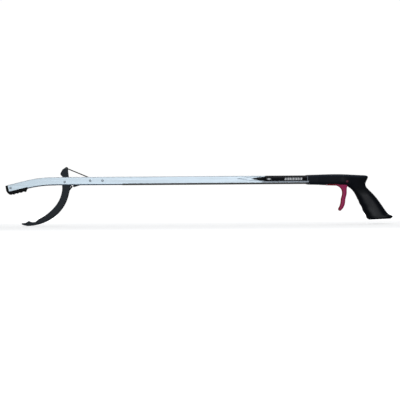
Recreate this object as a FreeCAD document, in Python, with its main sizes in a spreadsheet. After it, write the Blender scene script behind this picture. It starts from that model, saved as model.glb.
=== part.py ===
import FreeCAD, Part
import math
import os

import Sketcher
from FreeCAD import Placement, Rotation, Vector

# Reacher grabber, in millimetres. +X runs from the jaws to the handle, +Z is up, and the origin is
# the middle of the hand grip. Sizes live in the sheet below, and every outline is a row of corners
# that is copied into the sheet too, so that each sketch is bound to its cells.

SIZES = {
    "shaft_top": 54.2,  # height of the channel's web above the origin
    "shaft_height": 18.0,
    "shaft_width": 15.0,
    "shaft_wall": 1.3,
    "shaft_rear": -104.0,  # rear end, inside the handle
    "bend_start": -683.3,  # where the nose starts to bend down
    "bend_radius": 250.0,
    "nose_angle": 13.5,
    "nose_length": 41.0,
    "nose_depth": 14.4,
    "top_round": 2.0,
    "lip_round": 2.5,
    "lip_gap": 9.2,  # open width between the turned-in lips
    "slot_front": -669.0,  # slot in the web, for the horn and the cord
    "slot_rear": -598.0,
    "slot_level": 45.0,  # a level inside the channel, where its slots are cut from
    "slot_reach": 30.0,
    "claw_gap_front": -677.0,  # the lips are cut away where the claw swings
    "claw_gap_rear": -632.0,
    "pivot_x": -657.6,
    "pivot_z": 43.8,
    "claw_thick": 11.4,
    "horn_thick": 8.0,
    "horn_play": 0.6,
    "finger_thick": 13.6,
    "heel_thick": 2.4,
    "eye_x": 4.0,  # cord eye in the horn, from the claw's pivot
    "eye_z": 29.5,
    "heel_x": 12.9,  # spring hole in the heel, from the claw's pivot
    "heel_z": -10.8,
    "heel_hole": 1.7,
    "pin_radius": 2.0,
    "rivet_radius": 1.75,
    "pin_head": 2.6,
    "pin_head_height": 0.7,
    "run_clearance": 0.06,  # radial clearance of everything that turns on a pin
    "anchor_x": -602.2,
    "anchor_z": 46.1,
    "front_roller_x": -575.8,
    "front_roller_z": 45.9,
    "front_roller_groove": 3.9,
    "guide_x": -97.0,
    "guide_z": 38.4,
    "guide_groove": 2.9,
    "roller_flange": 0.9,
    "roller_width": 6.0,
    "guide_pin_radius": 1.25,
    "guide_pin_length": 22.0,
    "lock_pin_length": 16.4,
    "cord_radius": 1.1,
    "fork_play": 0.4,
    "cord_joint_x": -603.0,  # where the hinged front stretch meets the bent one
    "nipple_radius": 1.6,
    "nipple_length": 7.6,
    "coil_radius": 3.2,
    "coil_bore": 1.8,
    "spring_wire": 0.6,
    "hook_radius": 2.4,
    "cover_front": -532.4,
    "cover_thick": 0.5,
    "cover_height": 3.4,
    "rivet_back": 5.0,  # jaw rivet, back from the nose's end and up from its lower edge
    "rivet_up": 7.0,
    "pad_plug": 12.2,
    "label_rear": -132.0,
    "label_front": -216.5,
    "label_tip": -253.6,
    "label_bottom": 42.4,
    "label_film": 0.12,
    "trunnion_x": -45.7,
    "trunnion_z": 40.7,
    "trunnion_radius": 2.9,
    "trunnion_length": 26.6,
    "trigger_thick": 9.0,
    "arm_x": -43.3,  # cord eye in the trigger's arm, from the trunnions
    "arm_z": -5.6,
    "shell_wall": 2.0,
    "shaft_play": 0.2,
    "slot_play": 0.7,
    "roller_play": 0.3,
    "roller_room": 1.3,
    "washer_gap": 0.1,
    "trunnion_boss": 5.4,
    "guide_boss": 3.0,
    "lock_boss": 4.0,
    "lock_pin_x": -113.0,
    "lock_pin_z": 47.5,
    "screw_radius": 1.4,
    "screw_head": 2.8,
    "screw_length": 17.0,
    "screw_head_height": 1.8,
    "screw_sink": 1.0,
    "screw_slot_width": 0.7,
    "screw_slot_depth": 0.8,
    "boss_radius": 3.4,
}

# Claw, side view, from its pivot: horn up, finger down and forward. A third and a fourth value on
# a corner are the radius of the arc that leads to it and the side that it bulges to.
CLAW = [
    (-5.1, 9.7),
    (-5.1, 11.4),
    (-8.7, 14.9),
    (-9.0, 18.8, 3.4, 1),
    (-5.2, 26.6),
    (1.9, 31.5),
    (6.9, 29.3, 2.9, 1),
    (7.5, 20.4),
    (8.6, 10.4),
    (9.0, 2.0),
    (12.0, -5.0),
    (15.9, -9.6),
    (15.8, -12.4, 2.2, 1),
    (10.5, -18.7),
    (9.0, -23.0),
    (-24.6, -77.0, 84.0, 1),
    (-80.8, -95.1, 103.0, 1),
    (-91.6, -92.6, 60.0, 1),
    (-93.9, -88.9, 2.6, 1),
    (-85.1, -88.3),
    (-81.2, -85.6),
    (-76.2, -85.5, 3.2, 1),
    (-72.0, -87.0),
    (-65.0, -86.6),
    (-61.8, -84.2),
    (-56.6, -79.8),
    (-21.0, -52.6, 100.0, -1),
    (-5.5, -14.2, 66.0, -1),
    (-5.9, -5.5),
]

# Rubber jaw insert, from the nose's lower front corner, along the nose and square to it.
PAD = [
    (-0.3, 13.9),
    (-5.0, 13.9),
    (-5.9, 2.7),
    (-4.0, -2.9),
    (-0.5, -7.0),
    (2.2, -8.0),
    (5.2, -7.2),
    (8.1, -9.0),
    (13.5, -6.9),
    (16.1, -8.7),
    (20.8, -7.3),
    (24.1, -8.9),
    (29.8, -7.2),
    (34.2, -9.7),
    (36.7, -7.0),
    (38.2, -4.4),
    (40.7, -3.6),
    (40.7, -0.3),
    (-0.3, -0.3),
]
PLUG = [(-0.4, 11.4), (-0.4, -0.4), (44.0, -0.4), (40.0, 11.4)]

# Trigger, side view, from its trunnions: a long arm forward and a finger blade down.
TRIGGER = [
    (-46.7, -8.4),
    (-23.6, -9.0),
    (-10.6, -22.5, 15.6, 1),
    (-10.6, -28.4),
    (-13.2, -37.2),
    (-14.0, -45.4),
    (-15.6, -52.0),
    (-19.2, -58.6),
    (-12.6, -62.6, 3.9, -1),
    (-8.0, -57.4),
    (-5.2, -51.2),
    (-3.9, -44.9),
    (-3.6, -39.0),
    (-1.9, -32.5),
    (-0.4, -26.3),
    (-0.3, -13.6),
    (5.2, -3.0),
    (-3.0, 5.2, 6.0, -1),
    (-24.0, -0.8),
    (-40.0, -3.0),
    (-46.0, -3.4),
]

# Handle, as slices from its inner edge to its outer edge, each (inner x, inner z, outer x, outer z,
# half width). They run along the housing, fan round the web of the hand and go down the grip.
HANDLE = [
    (-135.4, 35.2, -135.4, 54.9, 9.2),
    (-129.0, 34.2, -129.0, 55.4, 11.0),
    (-112.0, 33.7, -112.0, 55.8, 12.0),
    (-90.0, 32.6, -90.0, 56.4, 12.9),
    (-70.0, 32.1, -70.0, 56.6, 13.2),
    (-60.0, 32.2, -54.0, 56.3, 13.3),
    (-50.0, 32.2, -37.0, 55.3, 13.3),
    (-45.0, 30.2, -19.0, 54.3, 13.3),
    (-42.6, 28.2, -5.0, 53.4, 13.2),
    (-41.0, 27.2, -0.2, 51.0, 13.0),
    (-39.4, 26.2, -0.6, 47.0, 13.0),
    (-37.4, 24.8, -4.2, 39.4, 13.2),
    (-35.2, 22.8, -5.6, 34.0, 13.6),
    (-32.4, 19.6, -3.6, 28.4, 14.2),
    (-29.0, 14.6, 1.6, 22.4, 14.8),
    (-25.4, 7.6, 9.6, 14.4, 15.2),
    (-21.4, -1.2, 18.2, 4.6, 15.4),
    (-16.8, -10.0, 27.0, -7.4, 15.5),
    (-13.0, -18.6, 33.6, -17.2, 15.6),
    (-8.8, -27.2, 40.6, -27.0, 16.0),
    (-6.4, -31.6, 46.2, -31.4, 16.4),
    (-4.6, -35.8, 52.0, -34.0, 16.8),
    (-2.4, -39.8, 53.4, -37.4, 16.8),
    (1.4, -42.6, 48.4, -40.8, 15.6),
]
SOLID_MOUTH = 3  # slices at the handle's mouth that stay solid round the shaft

# Screw places in the handle's side view.
SCREWS = [(-64.0, 49.6), (-19.0, 42.0), (-6.0, 10.0), (22.0, -27.0)]

# Openings in the handle's side view: the notch in each cheek at the mouth, the slot that the
# trigger swings in, and the side walls' cut-away above the trigger's arm.
MOUTH_NOTCH = [(-135.6, 38.9), (-128.8, 38.9), (-128.8, 51.9), (-135.6, 51.9)]
TRIGGER_SLOT = [(-93.6, 26.0), (-93.6, 38.0), (-38.6, 38.0), (-38.6, 24.0), (-44.0, 24.0)]
SKIRT = [(-92.8, 28.0), (-92.8, 35.3), (-66.0, 35.3), (-60.0, 33.9), (-45.2, 33.6), (-45.2, 28.0)]

document = FreeCAD.newDocument("reacher_grabber")
sheet = document.addObject("Spreadsheet::Sheet", "Sizes")
parts = []
row_count = 0


def add_cell(alias, value):
    """Give the sheet one more row: a plain number with an alias."""
    global row_count
    row_count += 1
    sheet.set(f"A{row_count}", alias)
    sheet.set(f"B{row_count}", repr(value))
    sheet.setAlias(f"B{row_count}", alias)


def add_corners(name, corners):
    """Copy an outline into the sheet and return it as expressions."""
    bound = []
    for index, corner in enumerate(corners):
        add_cell(f"{name}_{index}_across", corner[0])
        add_cell(f"{name}_{index}_up", corner[1])
        cells = [f"Sizes.{name}_{index}_across", f"Sizes.{name}_{index}_up"]
        if len(corner) == 4:
            add_cell(f"{name}_{index}_radius", corner[2])
            cells += [f"Sizes.{name}_{index}_radius", corner[3]]
        bound.append(tuple(cells))
    return bound


for alias, value in SIZES.items():
    add_cell(alias, value)
claw_corners = add_corners("claw", CLAW)
pad_corners = add_corners("pad", PAD)
plug_corners = add_corners("plug", PLUG)
trigger_corners = add_corners("trigger", TRIGGER)
document.recompute()


def size(expression):
    """The value of an expression in the sheet's aliases, each written as Sizes.alias."""
    value = sheet.evalExpression(expression)
    return float(getattr(value, "Value", value))


def new_body(label):
    body = document.addObject("PartDesign::Body", label)
    body.Label = label
    parts.append(body)
    return body


def plane(body, role):
    return next(item for item in body.Origin.OriginFeatures if item.Role == role)


# A sketch edge's ends are places 1 and 2, so this gives the other end.
START_PLACE = {1: 2, 2: 1}


def arc_middle(start, end, radius, side):
    """The middle of the arc from start to end that bulges to the left (1) or the right (-1)."""
    chord = end - start
    half = chord.Length / 2.0
    rise = radius - math.sqrt(max(radius * radius - half * half, 0.0))
    normal = Vector(-chord.y, chord.x, 0.0).normalize()
    return (start + end) * 0.5 + normal * (rise * side)


def add_outline(sketch, corners):
    """Draw one closed outline and bind each corner, and each arc's radius, to the sheet."""
    points = [Vector(size(str(c[0])), size(str(c[1])), 0.0) for c in corners]
    ends = []
    for index, corner in enumerate(corners):
        start = points[index - 1]
        end = points[index]
        curved = len(corner) == 4
        if curved:
            middle = arc_middle(start, end, size(corner[2]), corner[3])
            edge = sketch.addGeometry(Part.Arc(start, middle, end), False)
            first = sketch.getPoint(edge, 1)
            end_place = 1 if (first - end).Length < (first - start).Length else 2
        else:
            edge = sketch.addGeometry(Part.LineSegment(start, end), False)
            end_place = 2
        for kind, expression, value in (
            ("DistanceX", corner[0], end.x),
            ("DistanceY", corner[1], end.y),
        ):
            place = sketch.addConstraint(
                Sketcher.Constraint(kind, -1, 1, edge, end_place, value)
            )
            sketch.setExpression(f"Constraints[{place}]", expression)
        if curved:
            place = sketch.addConstraint(
                Sketcher.Constraint("Radius", edge, size(corner[2]))
            )
            sketch.setExpression(f"Constraints[{place}]", corner[2])
        if ends:
            tie(sketch, ends[-1], (edge, START_PLACE[end_place]))
        ends.append((edge, end_place))
    first_edge, first_end = ends[0]
    tie(sketch, ends[-1], (first_edge, START_PLACE[first_end]))


def tie(sketch, one, other):
    """Make two edge ends meet, each given as an edge and the place on it."""
    sketch.addConstraint(Sketcher.Constraint("Coincident", *one, *other))


def new_sketch(body, name, role, corners):
    sketch = body.newObject("Sketcher::SketchObject", name)
    sketch.AttachmentSupport = [(plane(body, role), "")]
    sketch.MapMode = "FlatFace"
    add_outline(sketch, corners)
    return sketch


def add_circle(sketch, across, up, radius):
    """Draw one circle whose middle and radius are bound to the sheet."""
    middle = Vector(size(across), size(up), 0.0)
    circle = sketch.addGeometry(Part.Circle(middle, Vector(0, 0, 1), size(radius)), False)
    for kind, expression, value in (
        ("DistanceX", across, middle.x),
        ("DistanceY", up, middle.y),
    ):
        place = sketch.addConstraint(Sketcher.Constraint(kind, -1, 1, circle, 3, value))
        sketch.setExpression(f"Constraints[{place}]", expression)
    place = sketch.addConstraint(Sketcher.Constraint("Radius", circle, size(radius)))
    sketch.setExpression(f"Constraints[{place}]", radius)


def circle_sketch(body, name, role, across, up, radius):
    sketch = body.newObject("Sketcher::SketchObject", name)
    sketch.AttachmentSupport = [(plane(body, role), "")]
    sketch.MapMode = "FlatFace"
    add_circle(sketch, across, up, radius)
    return sketch


def pad(body, sketch, length):
    feature = body.newObject("PartDesign::Pad", sketch.Name + "_pad")
    feature.Profile = sketch
    feature.Midplane = True
    feature.setExpression("Length", length)
    sketch.Visibility = False
    document.recompute()
    return feature


def pocket(body, sketch, length):
    """Cut a sketch out, half its length to each side of its plane, and check that it cut."""
    before = body.Shape.Volume
    feature = body.newObject("PartDesign::Pocket", sketch.Name + "_pocket")
    feature.Profile = sketch
    feature.Midplane = True
    feature.setExpression("Length", length)
    sketch.Visibility = False
    document.recompute()
    if body.Shape.Volume > before - 0.01:
        raise RuntimeError(f"{sketch.Name} cuts nothing")
    return feature


def fillet(body, base, radius, wanted):
    """Round the edges of a feature that a test picks out."""
    edges = [
        f"Edge{number + 1}"
        for number, edge in enumerate(base.Shape.Edges)
        if wanted(edge)
    ]
    feature = body.newObject("PartDesign::Fillet", base.Name + "_round")
    feature.Base = (base, edges)
    feature.setExpression("Radius", radius)
    document.recompute()
    return feature


def place_at(part, across, up):
    """Put a part at a place in the side view, bound to the sheet."""
    part.Placement = Placement(Vector(size(across), 0.0, size(up)), Rotation())
    part.setExpression("Placement.Base.x", across)
    part.setExpression("Placement.Base.z", up)


def rivet(label, across, up, radius, half):
    """A headed pin along Y, turned from one outline: shank, and a chamfered head on each end."""
    body = new_body(label)
    head = "Sizes.pin_head"
    tall = "Sizes.pin_head_height"
    corners = [
        ("0", f"-({half}) - {tall}"),
        (f"{head} * 0.6", f"-({half}) - {tall}"),
        (head, f"-({half}) - {tall} * 0.4"),
        (head, f"-({half})"),
        (radius, f"-({half})"),
        (radius, half),
        (head, half),
        (head, f"({half}) + {tall} * 0.4"),
        (f"{head} * 0.6", f"({half}) + {tall}"),
        ("0", f"({half}) + {tall}"),
    ]
    turn(body, label, corners)
    place_at(body, across, up)
    return body


def turn(body, name, corners):
    """Turn an outline, given as (radius, place along Y), into a solid round the Y axis."""
    sketch = new_sketch(body, name + "_profile", "XY_Plane", corners)
    feature = body.newObject("PartDesign::Revolution", name + "_turn")
    feature.Profile = sketch
    feature.ReferenceAxis = (sketch, ["V_Axis"])
    feature.Angle = 360.0
    sketch.Visibility = False
    document.recompute()
    return feature


def along_y(edge):
    return abs(edge.BoundBox.YLength) > 0.5 * edge.Length


SHAFT_BOTTOM = "Sizes.shaft_top - Sizes.shaft_height"
THROUGH = "2 * Sizes.shaft_width"  # long enough to cut right through any part across the shaft
FORK_WIDTH = "2 * (Sizes.cord_radius + Sizes.fork_play)"
FAR = 40.0  # past the handle's sides and edges, for tools that cut right through it


def nose_point(inset, along, down):
    """A point of the nose: a distance past the bend's end, and a depth below its upper face."""
    turned = "Sizes.nose_angle * 1 deg"
    radius = f"(Sizes.bend_radius - ({inset}))"
    return (
        f"Sizes.bend_start - {radius} * sin({turned}) - ({along}) * cos({turned})"
        f" + ({down}) * sin({turned})",
        f"Sizes.shaft_top - Sizes.bend_radius + {radius} * cos({turned})"
        f" - ({along}) * sin({turned}) - ({down}) * cos({turned})",
    )


RIVET_PLACE = nose_point("0", "Sizes.nose_length - Sizes.rivet_back",
                         "Sizes.nose_depth - Sizes.rivet_up")


def build_shaft():
    """Roll-formed channel: web on top, turned-in lips below, nose bent down."""
    body = new_body("shaft")
    outer = [
        ("Sizes.shaft_rear", "Sizes.shaft_top"),
        ("Sizes.bend_start", "Sizes.shaft_top"),
        nose_point("0", "0", "0") + ("Sizes.bend_radius", -1),
        nose_point("0", "Sizes.nose_length", "0"),
        nose_point("0", "Sizes.nose_length", "Sizes.nose_depth"),
        nose_point("0", "0", "Sizes.nose_depth"),
        nose_point("0", "0", "Sizes.shaft_height"),
        ("Sizes.bend_start", SHAFT_BOTTOM, "Sizes.bend_radius - Sizes.shaft_height", 1),
        ("Sizes.shaft_rear", SHAFT_BOTTOM),
    ]
    blank = pad(body, new_sketch(body, "shaft_side", "XZ_Plane", outer), "Sizes.shaft_width")

    def web_edge(edge):
        box = edge.BoundBox
        high = box.ZMin > 37.0 and abs(abs(box.YMin) - 7.5) < 0.01
        return high and not along_y(edge) and box.ZMax > 47.0 and box.XLength > 20.0

    rounded = fillet(body, blank, "Sizes.top_round", web_edge)

    def lip_edge(edge):
        box = edge.BoundBox
        low = abs(box.ZMax - size(SHAFT_BOTTOM)) < 0.01
        return low and box.XLength > 50.0

    fillet(body, rounded, "Sizes.lip_round", lip_edge)
    wall = "Sizes.shaft_wall"
    lip_level = f"Sizes.shaft_height - {wall}"
    inner = [
        ("Sizes.shaft_rear + 5", f"Sizes.shaft_top - {wall}"),
        ("Sizes.bend_start", f"Sizes.shaft_top - {wall}"),
        nose_point(wall, "0", "0") + (f"Sizes.bend_radius - {wall}", -1),
        nose_point(wall, "Sizes.nose_length + 5", "0"),
        nose_point("0", "Sizes.nose_length + 5", "Sizes.nose_depth + 5"),
        nose_point("0", "0", "Sizes.nose_depth + 5"),
        nose_point("0", "0", lip_level),
        ("Sizes.bend_start", f"{SHAFT_BOTTOM} + {wall}", f"Sizes.bend_radius - ({lip_level})", 1),
        ("Sizes.shaft_rear + 5", f"{SHAFT_BOTTOM} + {wall}"),
    ]
    hollow = new_sketch(body, "shaft_hollow", "XZ_Plane", inner)
    pocket(body, hollow, f"Sizes.shaft_width - 2 * {wall}")
    nose_root, _ = nose_point("0", "0", "0")
    cut_slot(body, "lip_opening", nose_root, "Sizes.shaft_rear + 5", "Sizes.lip_gap", False)
    cut_slot(body, "claw_opening", "Sizes.claw_gap_front", "Sizes.claw_gap_rear",
             f"Sizes.shaft_width - 2 * {wall}", False)
    cut_slot(body, "web_slot", "Sizes.slot_front", "Sizes.slot_rear",
             "Sizes.horn_thick + 2 * Sizes.horn_play", True)
    holes = body.newObject("Sketcher::SketchObject", "shaft_holes")
    holes.AttachmentSupport = [(plane(body, "XZ_Plane"), "")]
    holes.MapMode = "FlatFace"
    add_circle(holes, "Sizes.pivot_x", "Sizes.pivot_z", "Sizes.pin_radius")
    for across, up in (
        ("Sizes.anchor_x", "Sizes.anchor_z"),
        ("Sizes.front_roller_x", "Sizes.front_roller_z"),
        ("Sizes.lock_pin_x", "Sizes.lock_pin_z"),
        RIVET_PLACE,
    ):
        add_circle(holes, across, up, "Sizes.rivet_radius")
    pocket(body, holes, THROUGH)
    return body


def cut_slot(body, name, front, rear, width, upwards):
    """Cut a slot along X from inside the channel, up through the web or down through the lips."""
    sketch = body.newObject("Sketcher::SketchObject", name)
    sketch.AttachmentSupport = [(plane(body, "XY_Plane"), "")]
    sketch.MapMode = "FlatFace"
    sketch.AttachmentOffset = Placement(Vector(0, 0, size("Sizes.slot_level")), Rotation())
    sketch.setExpression("AttachmentOffset.Base.z", "Sizes.slot_level")
    half = f"({width}) / 2"
    add_outline(sketch, [
        (front, f"-{half}"),
        (rear, f"-{half}"),
        (rear, half),
        (front, half),
    ])
    before = body.Shape.Volume
    feature = body.newObject("PartDesign::Pocket", name + "_pocket")
    feature.Profile = sketch
    feature.Reversed = upwards
    feature.setExpression("Length", "Sizes.slot_reach")
    sketch.Visibility = False
    document.recompute()
    if body.Shape.Volume > before - 0.01:
        raise RuntimeError(f"{name} cuts nothing")


def build_cover():
    """Snap-on strip that closes the shaft's open underside and hugs its lower edges."""
    body = new_body("channel_cover")
    gap = "0.04"
    half = f"(Sizes.shaft_width / 2 + {gap})"
    thick = "Sizes.cover_thick"
    low = f"({SHAFT_BOTTOM} - {gap})"
    high = f"({low} + Sizes.cover_height)"
    bend = "Sizes.lip_round"
    corners = [
        (f"-{half} - {thick}", high),
        (f"-{half} - {thick}", f"{low} + {bend}"),
        (f"-{half} + {bend}", f"{low} - {thick}", f"{bend} + {thick}", -1),
        (f"{half} - {bend}", f"{low} - {thick}"),
        (f"{half} + {thick}", f"{low} + {bend}", f"{bend} + {thick}", -1),
        (f"{half} + {thick}", high),
        (half, high),
        (half, f"{low} + {bend}"),
        (f"{half} - {bend}", low, bend, 1),
        (f"-{half} + {bend}", low),
        (f"-{half}", f"{low} + {bend}", bend, 1),
        (f"-{half}", high),
    ]
    sketch = new_sketch(body, "cover_section", "YZ_Plane", corners)
    feature = body.newObject("PartDesign::Pad", "cover_pad")
    feature.Profile = sketch
    feature.setExpression("Length", "Sizes.shaft_rear - Sizes.cover_front")
    sketch.Visibility = False
    body.Placement = Placement(Vector(size("Sizes.cover_front"), 0, 0), Rotation())
    body.setExpression("Placement.Base.x", "Sizes.cover_front")
    document.recompute()


def build_pad():
    """Rubber insert: teeth and front lip at full width, and a plug inside the nose."""
    body = new_body("jaw_pad")
    pad(body, new_sketch(body, "pad_side", "XZ_Plane", pad_corners), "Sizes.shaft_width")
    pad(body, new_sketch(body, "pad_plug_side", "XZ_Plane", plug_corners), "Sizes.pad_plug")
    bore = circle_sketch(body, "pad_bore", "XZ_Plane", "Sizes.rivet_back", "Sizes.rivet_up",
                         "Sizes.rivet_radius")
    pocket(body, bore, THROUGH)
    across, up = nose_point("0", "Sizes.nose_length", "Sizes.nose_depth")
    body.Placement = Placement(
        Vector(size(across), 0, size(up)),
        Rotation(Vector(0, 1, 0), -size("Sizes.nose_angle")),
    )


def build_claw():
    """One moulding: finger, hub between the shaft's sides, thin heel and forked horn."""
    body = new_body("claw")
    core = new_sketch(body, "claw_side", "XZ_Plane", claw_corners)
    pad(body, core, "Sizes.finger_thick")
    thin_hub = new_sketch(body, "hub_band", "XZ_Plane", [
        ("-30", "-13.5"), ("30", "-13.5"), ("30", "6.2"), ("-30", "6.2"),
    ])
    trim_sides(body, thin_hub, "Sizes.claw_thick")
    thin_horn = new_sketch(body, "horn_band", "XZ_Plane", [
        ("-30", "6.2"), ("30", "6.2"), ("30", "40.0"), ("-30", "40.0"),
    ])
    trim_sides(body, thin_horn, "Sizes.horn_thick")
    thin_heel = new_sketch(body, "heel_band", "XZ_Plane", [
        ("9.6", "-20.0"), ("30", "-20.0"), ("30", "-3.0"), ("9.6", "-3.0"),
    ])
    trim_sides(body, thin_heel, "Sizes.heel_thick")
    bore = circle_sketch(body, "claw_bore", "XZ_Plane", "0", "0",
                         "Sizes.pin_radius + Sizes.run_clearance")
    pocket(body, bore, THROUGH)
    eye = circle_sketch(body, "eye_bore", "XZ_Plane", "Sizes.eye_x", "Sizes.eye_z",
                        "Sizes.nipple_radius + Sizes.run_clearance")
    pocket(body, eye, THROUGH)
    hole = circle_sketch(body, "heel_bore", "XZ_Plane", "Sizes.heel_x", "Sizes.heel_z",
                         "Sizes.heel_hole")
    pocket(body, hole, THROUGH)
    fork = new_sketch(body, "horn_fork", "XZ_Plane", [
        ("Sizes.eye_x - 2.2", "Sizes.eye_z - 2.4"),
        ("Sizes.eye_x + 8.0", "Sizes.eye_z - 7.6"),
        ("Sizes.eye_x + 8.0", "Sizes.eye_z + 8.0"),
        ("Sizes.eye_x - 2.2", "Sizes.eye_z + 8.0"),
    ])
    pocket(body, fork, FORK_WIDTH)
    place_at(body, "Sizes.pivot_x", "Sizes.pivot_z")


def trim_sides(body, sketch, keep):
    """Cut both sides of a body away within a sketch, and keep the middle at a given thickness."""
    for side, reversed_cut in ((1, False), (-1, True)):
        copy = sketch if side == 1 else body.newObject(
            "Sketcher::SketchObject", sketch.Name + "_far")
        if side == -1:
            copy.AttachmentSupport = [(plane(body, "XZ_Plane"), "")]
            copy.MapMode = "FlatFace"
            for edge in sketch.Geometry:
                copy.addGeometry(edge, False)
        copy.AttachmentOffset = Placement(Vector(0, 0, side * size(keep) / 2.0), Rotation())
        copy.setExpression("AttachmentOffset.Base.z", f"{side} * ({keep}) / 2")
        document.recompute()
        before = body.Shape.Volume
        feature = body.newObject("PartDesign::Pocket", copy.Name + "_trim")
        feature.Profile = copy
        feature.Reversed = not reversed_cut
        feature.Length = 20.0
        copy.Visibility = False
        document.recompute()
        if body.Shape.Volume > before - 0.01:
            raise RuntimeError(f"{copy.Name} trims nothing")


def roller(label, across, up, groove, bore):
    """Grooved roller that turns on a pin along Y."""
    body = new_body(label)
    half = "Sizes.roller_width / 2"
    rim = f"{groove} + Sizes.roller_flange"
    corners = [
        (bore, f"-{half}"),
        (rim, f"-{half}"),
        (rim, f"-{half} + 0.9"),
        (groove, f"-{half} + 1.6"),
        (groove, f"{half} - 1.6"),
        (rim, f"{half} - 0.9"),
        (rim, half),
        (bore, half),
    ]
    turn(body, label, corners)
    place_at(body, across, up)


def side_point(expression_x, expression_z):
    return Vector(size(expression_x), 0.0, size(expression_z))


def tube_along(edges, radius):
    """A round solid along a chain of edges, with its volume checked against its length."""
    wire = Part.Wire(edges)
    start = wire.Edges[0]
    tangent = start.tangentAt(start.FirstParameter)
    ring = Part.Wire(Part.makeCircle(radius, start.valueAt(start.FirstParameter), tangent))
    solid = wire.makePipeShell([ring], True, True)
    wanted = math.pi * radius * radius * wire.Length
    if abs(solid.Volume - wanted) > 0.02 * wanted:
        raise RuntimeError("a tube's volume does not match its length")
    return solid


def add_feature(label, shape, position=None):
    part = document.addObject("Part::Feature", label)
    part.Label = label
    part.Shape = shape
    part.Placement = Placement(position or Vector(), Rotation())
    parts.append(part)
    return part


def cord_line():
    """The cord's corner points in the side view, found from the rollers it is tangent to."""
    radius = size("Sizes.cord_radius")
    eye = side_point("Sizes.pivot_x + Sizes.eye_x", "Sizes.pivot_z + Sizes.eye_z")
    front = side_point("Sizes.front_roller_x", "Sizes.front_roller_z")
    guide = side_point("Sizes.guide_x", "Sizes.guide_z")
    arm = side_point("Sizes.trunnion_x + Sizes.arm_x", "Sizes.trunnion_z + Sizes.arm_z")
    front_reach = size("Sizes.front_roller_groove") + radius
    guide_reach = size("Sizes.guide_groove") + radius
    to_front = front - eye
    drop = math.atan2(-to_front.z, to_front.x) + math.asin(front_reach / to_front.Length)
    enter = front + Vector(-math.sin(drop), 0, -math.cos(drop)) * front_reach
    span = guide - front
    rise = math.atan2(span.z, span.x) + math.asin((front_reach + guide_reach) / span.Length)
    normal = Vector(-math.sin(rise), 0, math.cos(rise))
    leave = front - normal * front_reach
    over = guide + normal * guide_reach
    to_guide = guide - arm
    swing = math.atan2(to_guide.z, to_guide.x) - math.asin(guide_reach / to_guide.Length)
    off = arm + Vector(math.cos(swing), 0, math.sin(swing)) * math.sqrt(
        to_guide.Length ** 2 - guide_reach ** 2)
    return {
        "eye": eye, "front": front, "guide": guide, "arm": arm, "drop": drop, "rise": rise,
        "enter": enter, "leave": leave, "over": over, "off": off,
        "front_reach": front_reach, "guide_reach": guide_reach,
    }


def arc_between(start, end, middle, reach):
    """The short arc from start to end about a middle point."""
    half_way = ((start + end) * 0.5 - middle).normalize() * reach + middle
    return Part.Arc(start, half_way, end).toShape()


def build_cord():
    """The pull cord in four stretches that meet end to end, and its two barrel ends."""
    line = cord_line()
    radius = size("Sizes.cord_radius")
    nipple = size("Sizes.nipple_radius")
    down = Vector(math.cos(line["drop"]), 0, -math.sin(line["drop"]))
    joint_x = size("Sizes.cord_joint_x")
    joint = line["eye"] + down * ((joint_x - line["eye"].x) / down.x)
    half = size("Sizes.nipple_length") / 2.0
    for label, key in (("cord_nipple", "eye"), ("cord_terminal", "arm")):
        barrel = Part.makeCylinder(nipple, 2 * half, line[key] - Vector(0, half, 0), Vector(0, 1, 0))
        add_feature(label, barrel)
    start = line["eye"] + down * nipple * 0.98
    front = Part.makeLine(start, joint)
    bend = [
        Part.makeLine(joint, line["enter"]),
        arc_between(line["enter"], line["leave"], line["front"], line["front_reach"]),
    ]
    tail_end = line["arm"] + (line["off"] - line["arm"]).normalize() * nipple * 0.98
    tail = [
        arc_between(line["over"], line["off"], line["guide"], line["guide_reach"]),
        Part.makeLine(line["off"], tail_end),
    ]
    front_solid = tube_along([front], radius)
    front_solid = front_solid.cut(
        Part.makeCylinder(nipple, 20, line["eye"] - Vector(0, 10, 0), Vector(0, 1, 0)))
    add_feature("pull_cord_front", front_solid)
    add_feature("pull_cord_bend", tube_along(bend, radius))
    add_feature("pull_cord_run", tube_along([Part.makeLine(line["leave"], line["over"])], radius))
    tail_solid = tube_along(tail, radius)
    tail_solid = tail_solid.cut(
        Part.makeCylinder(nipple, 20, line["arm"] - Vector(0, 10, 0), Vector(0, 1, 0)))
    add_feature("pull_cord_tail", tail_solid)


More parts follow.
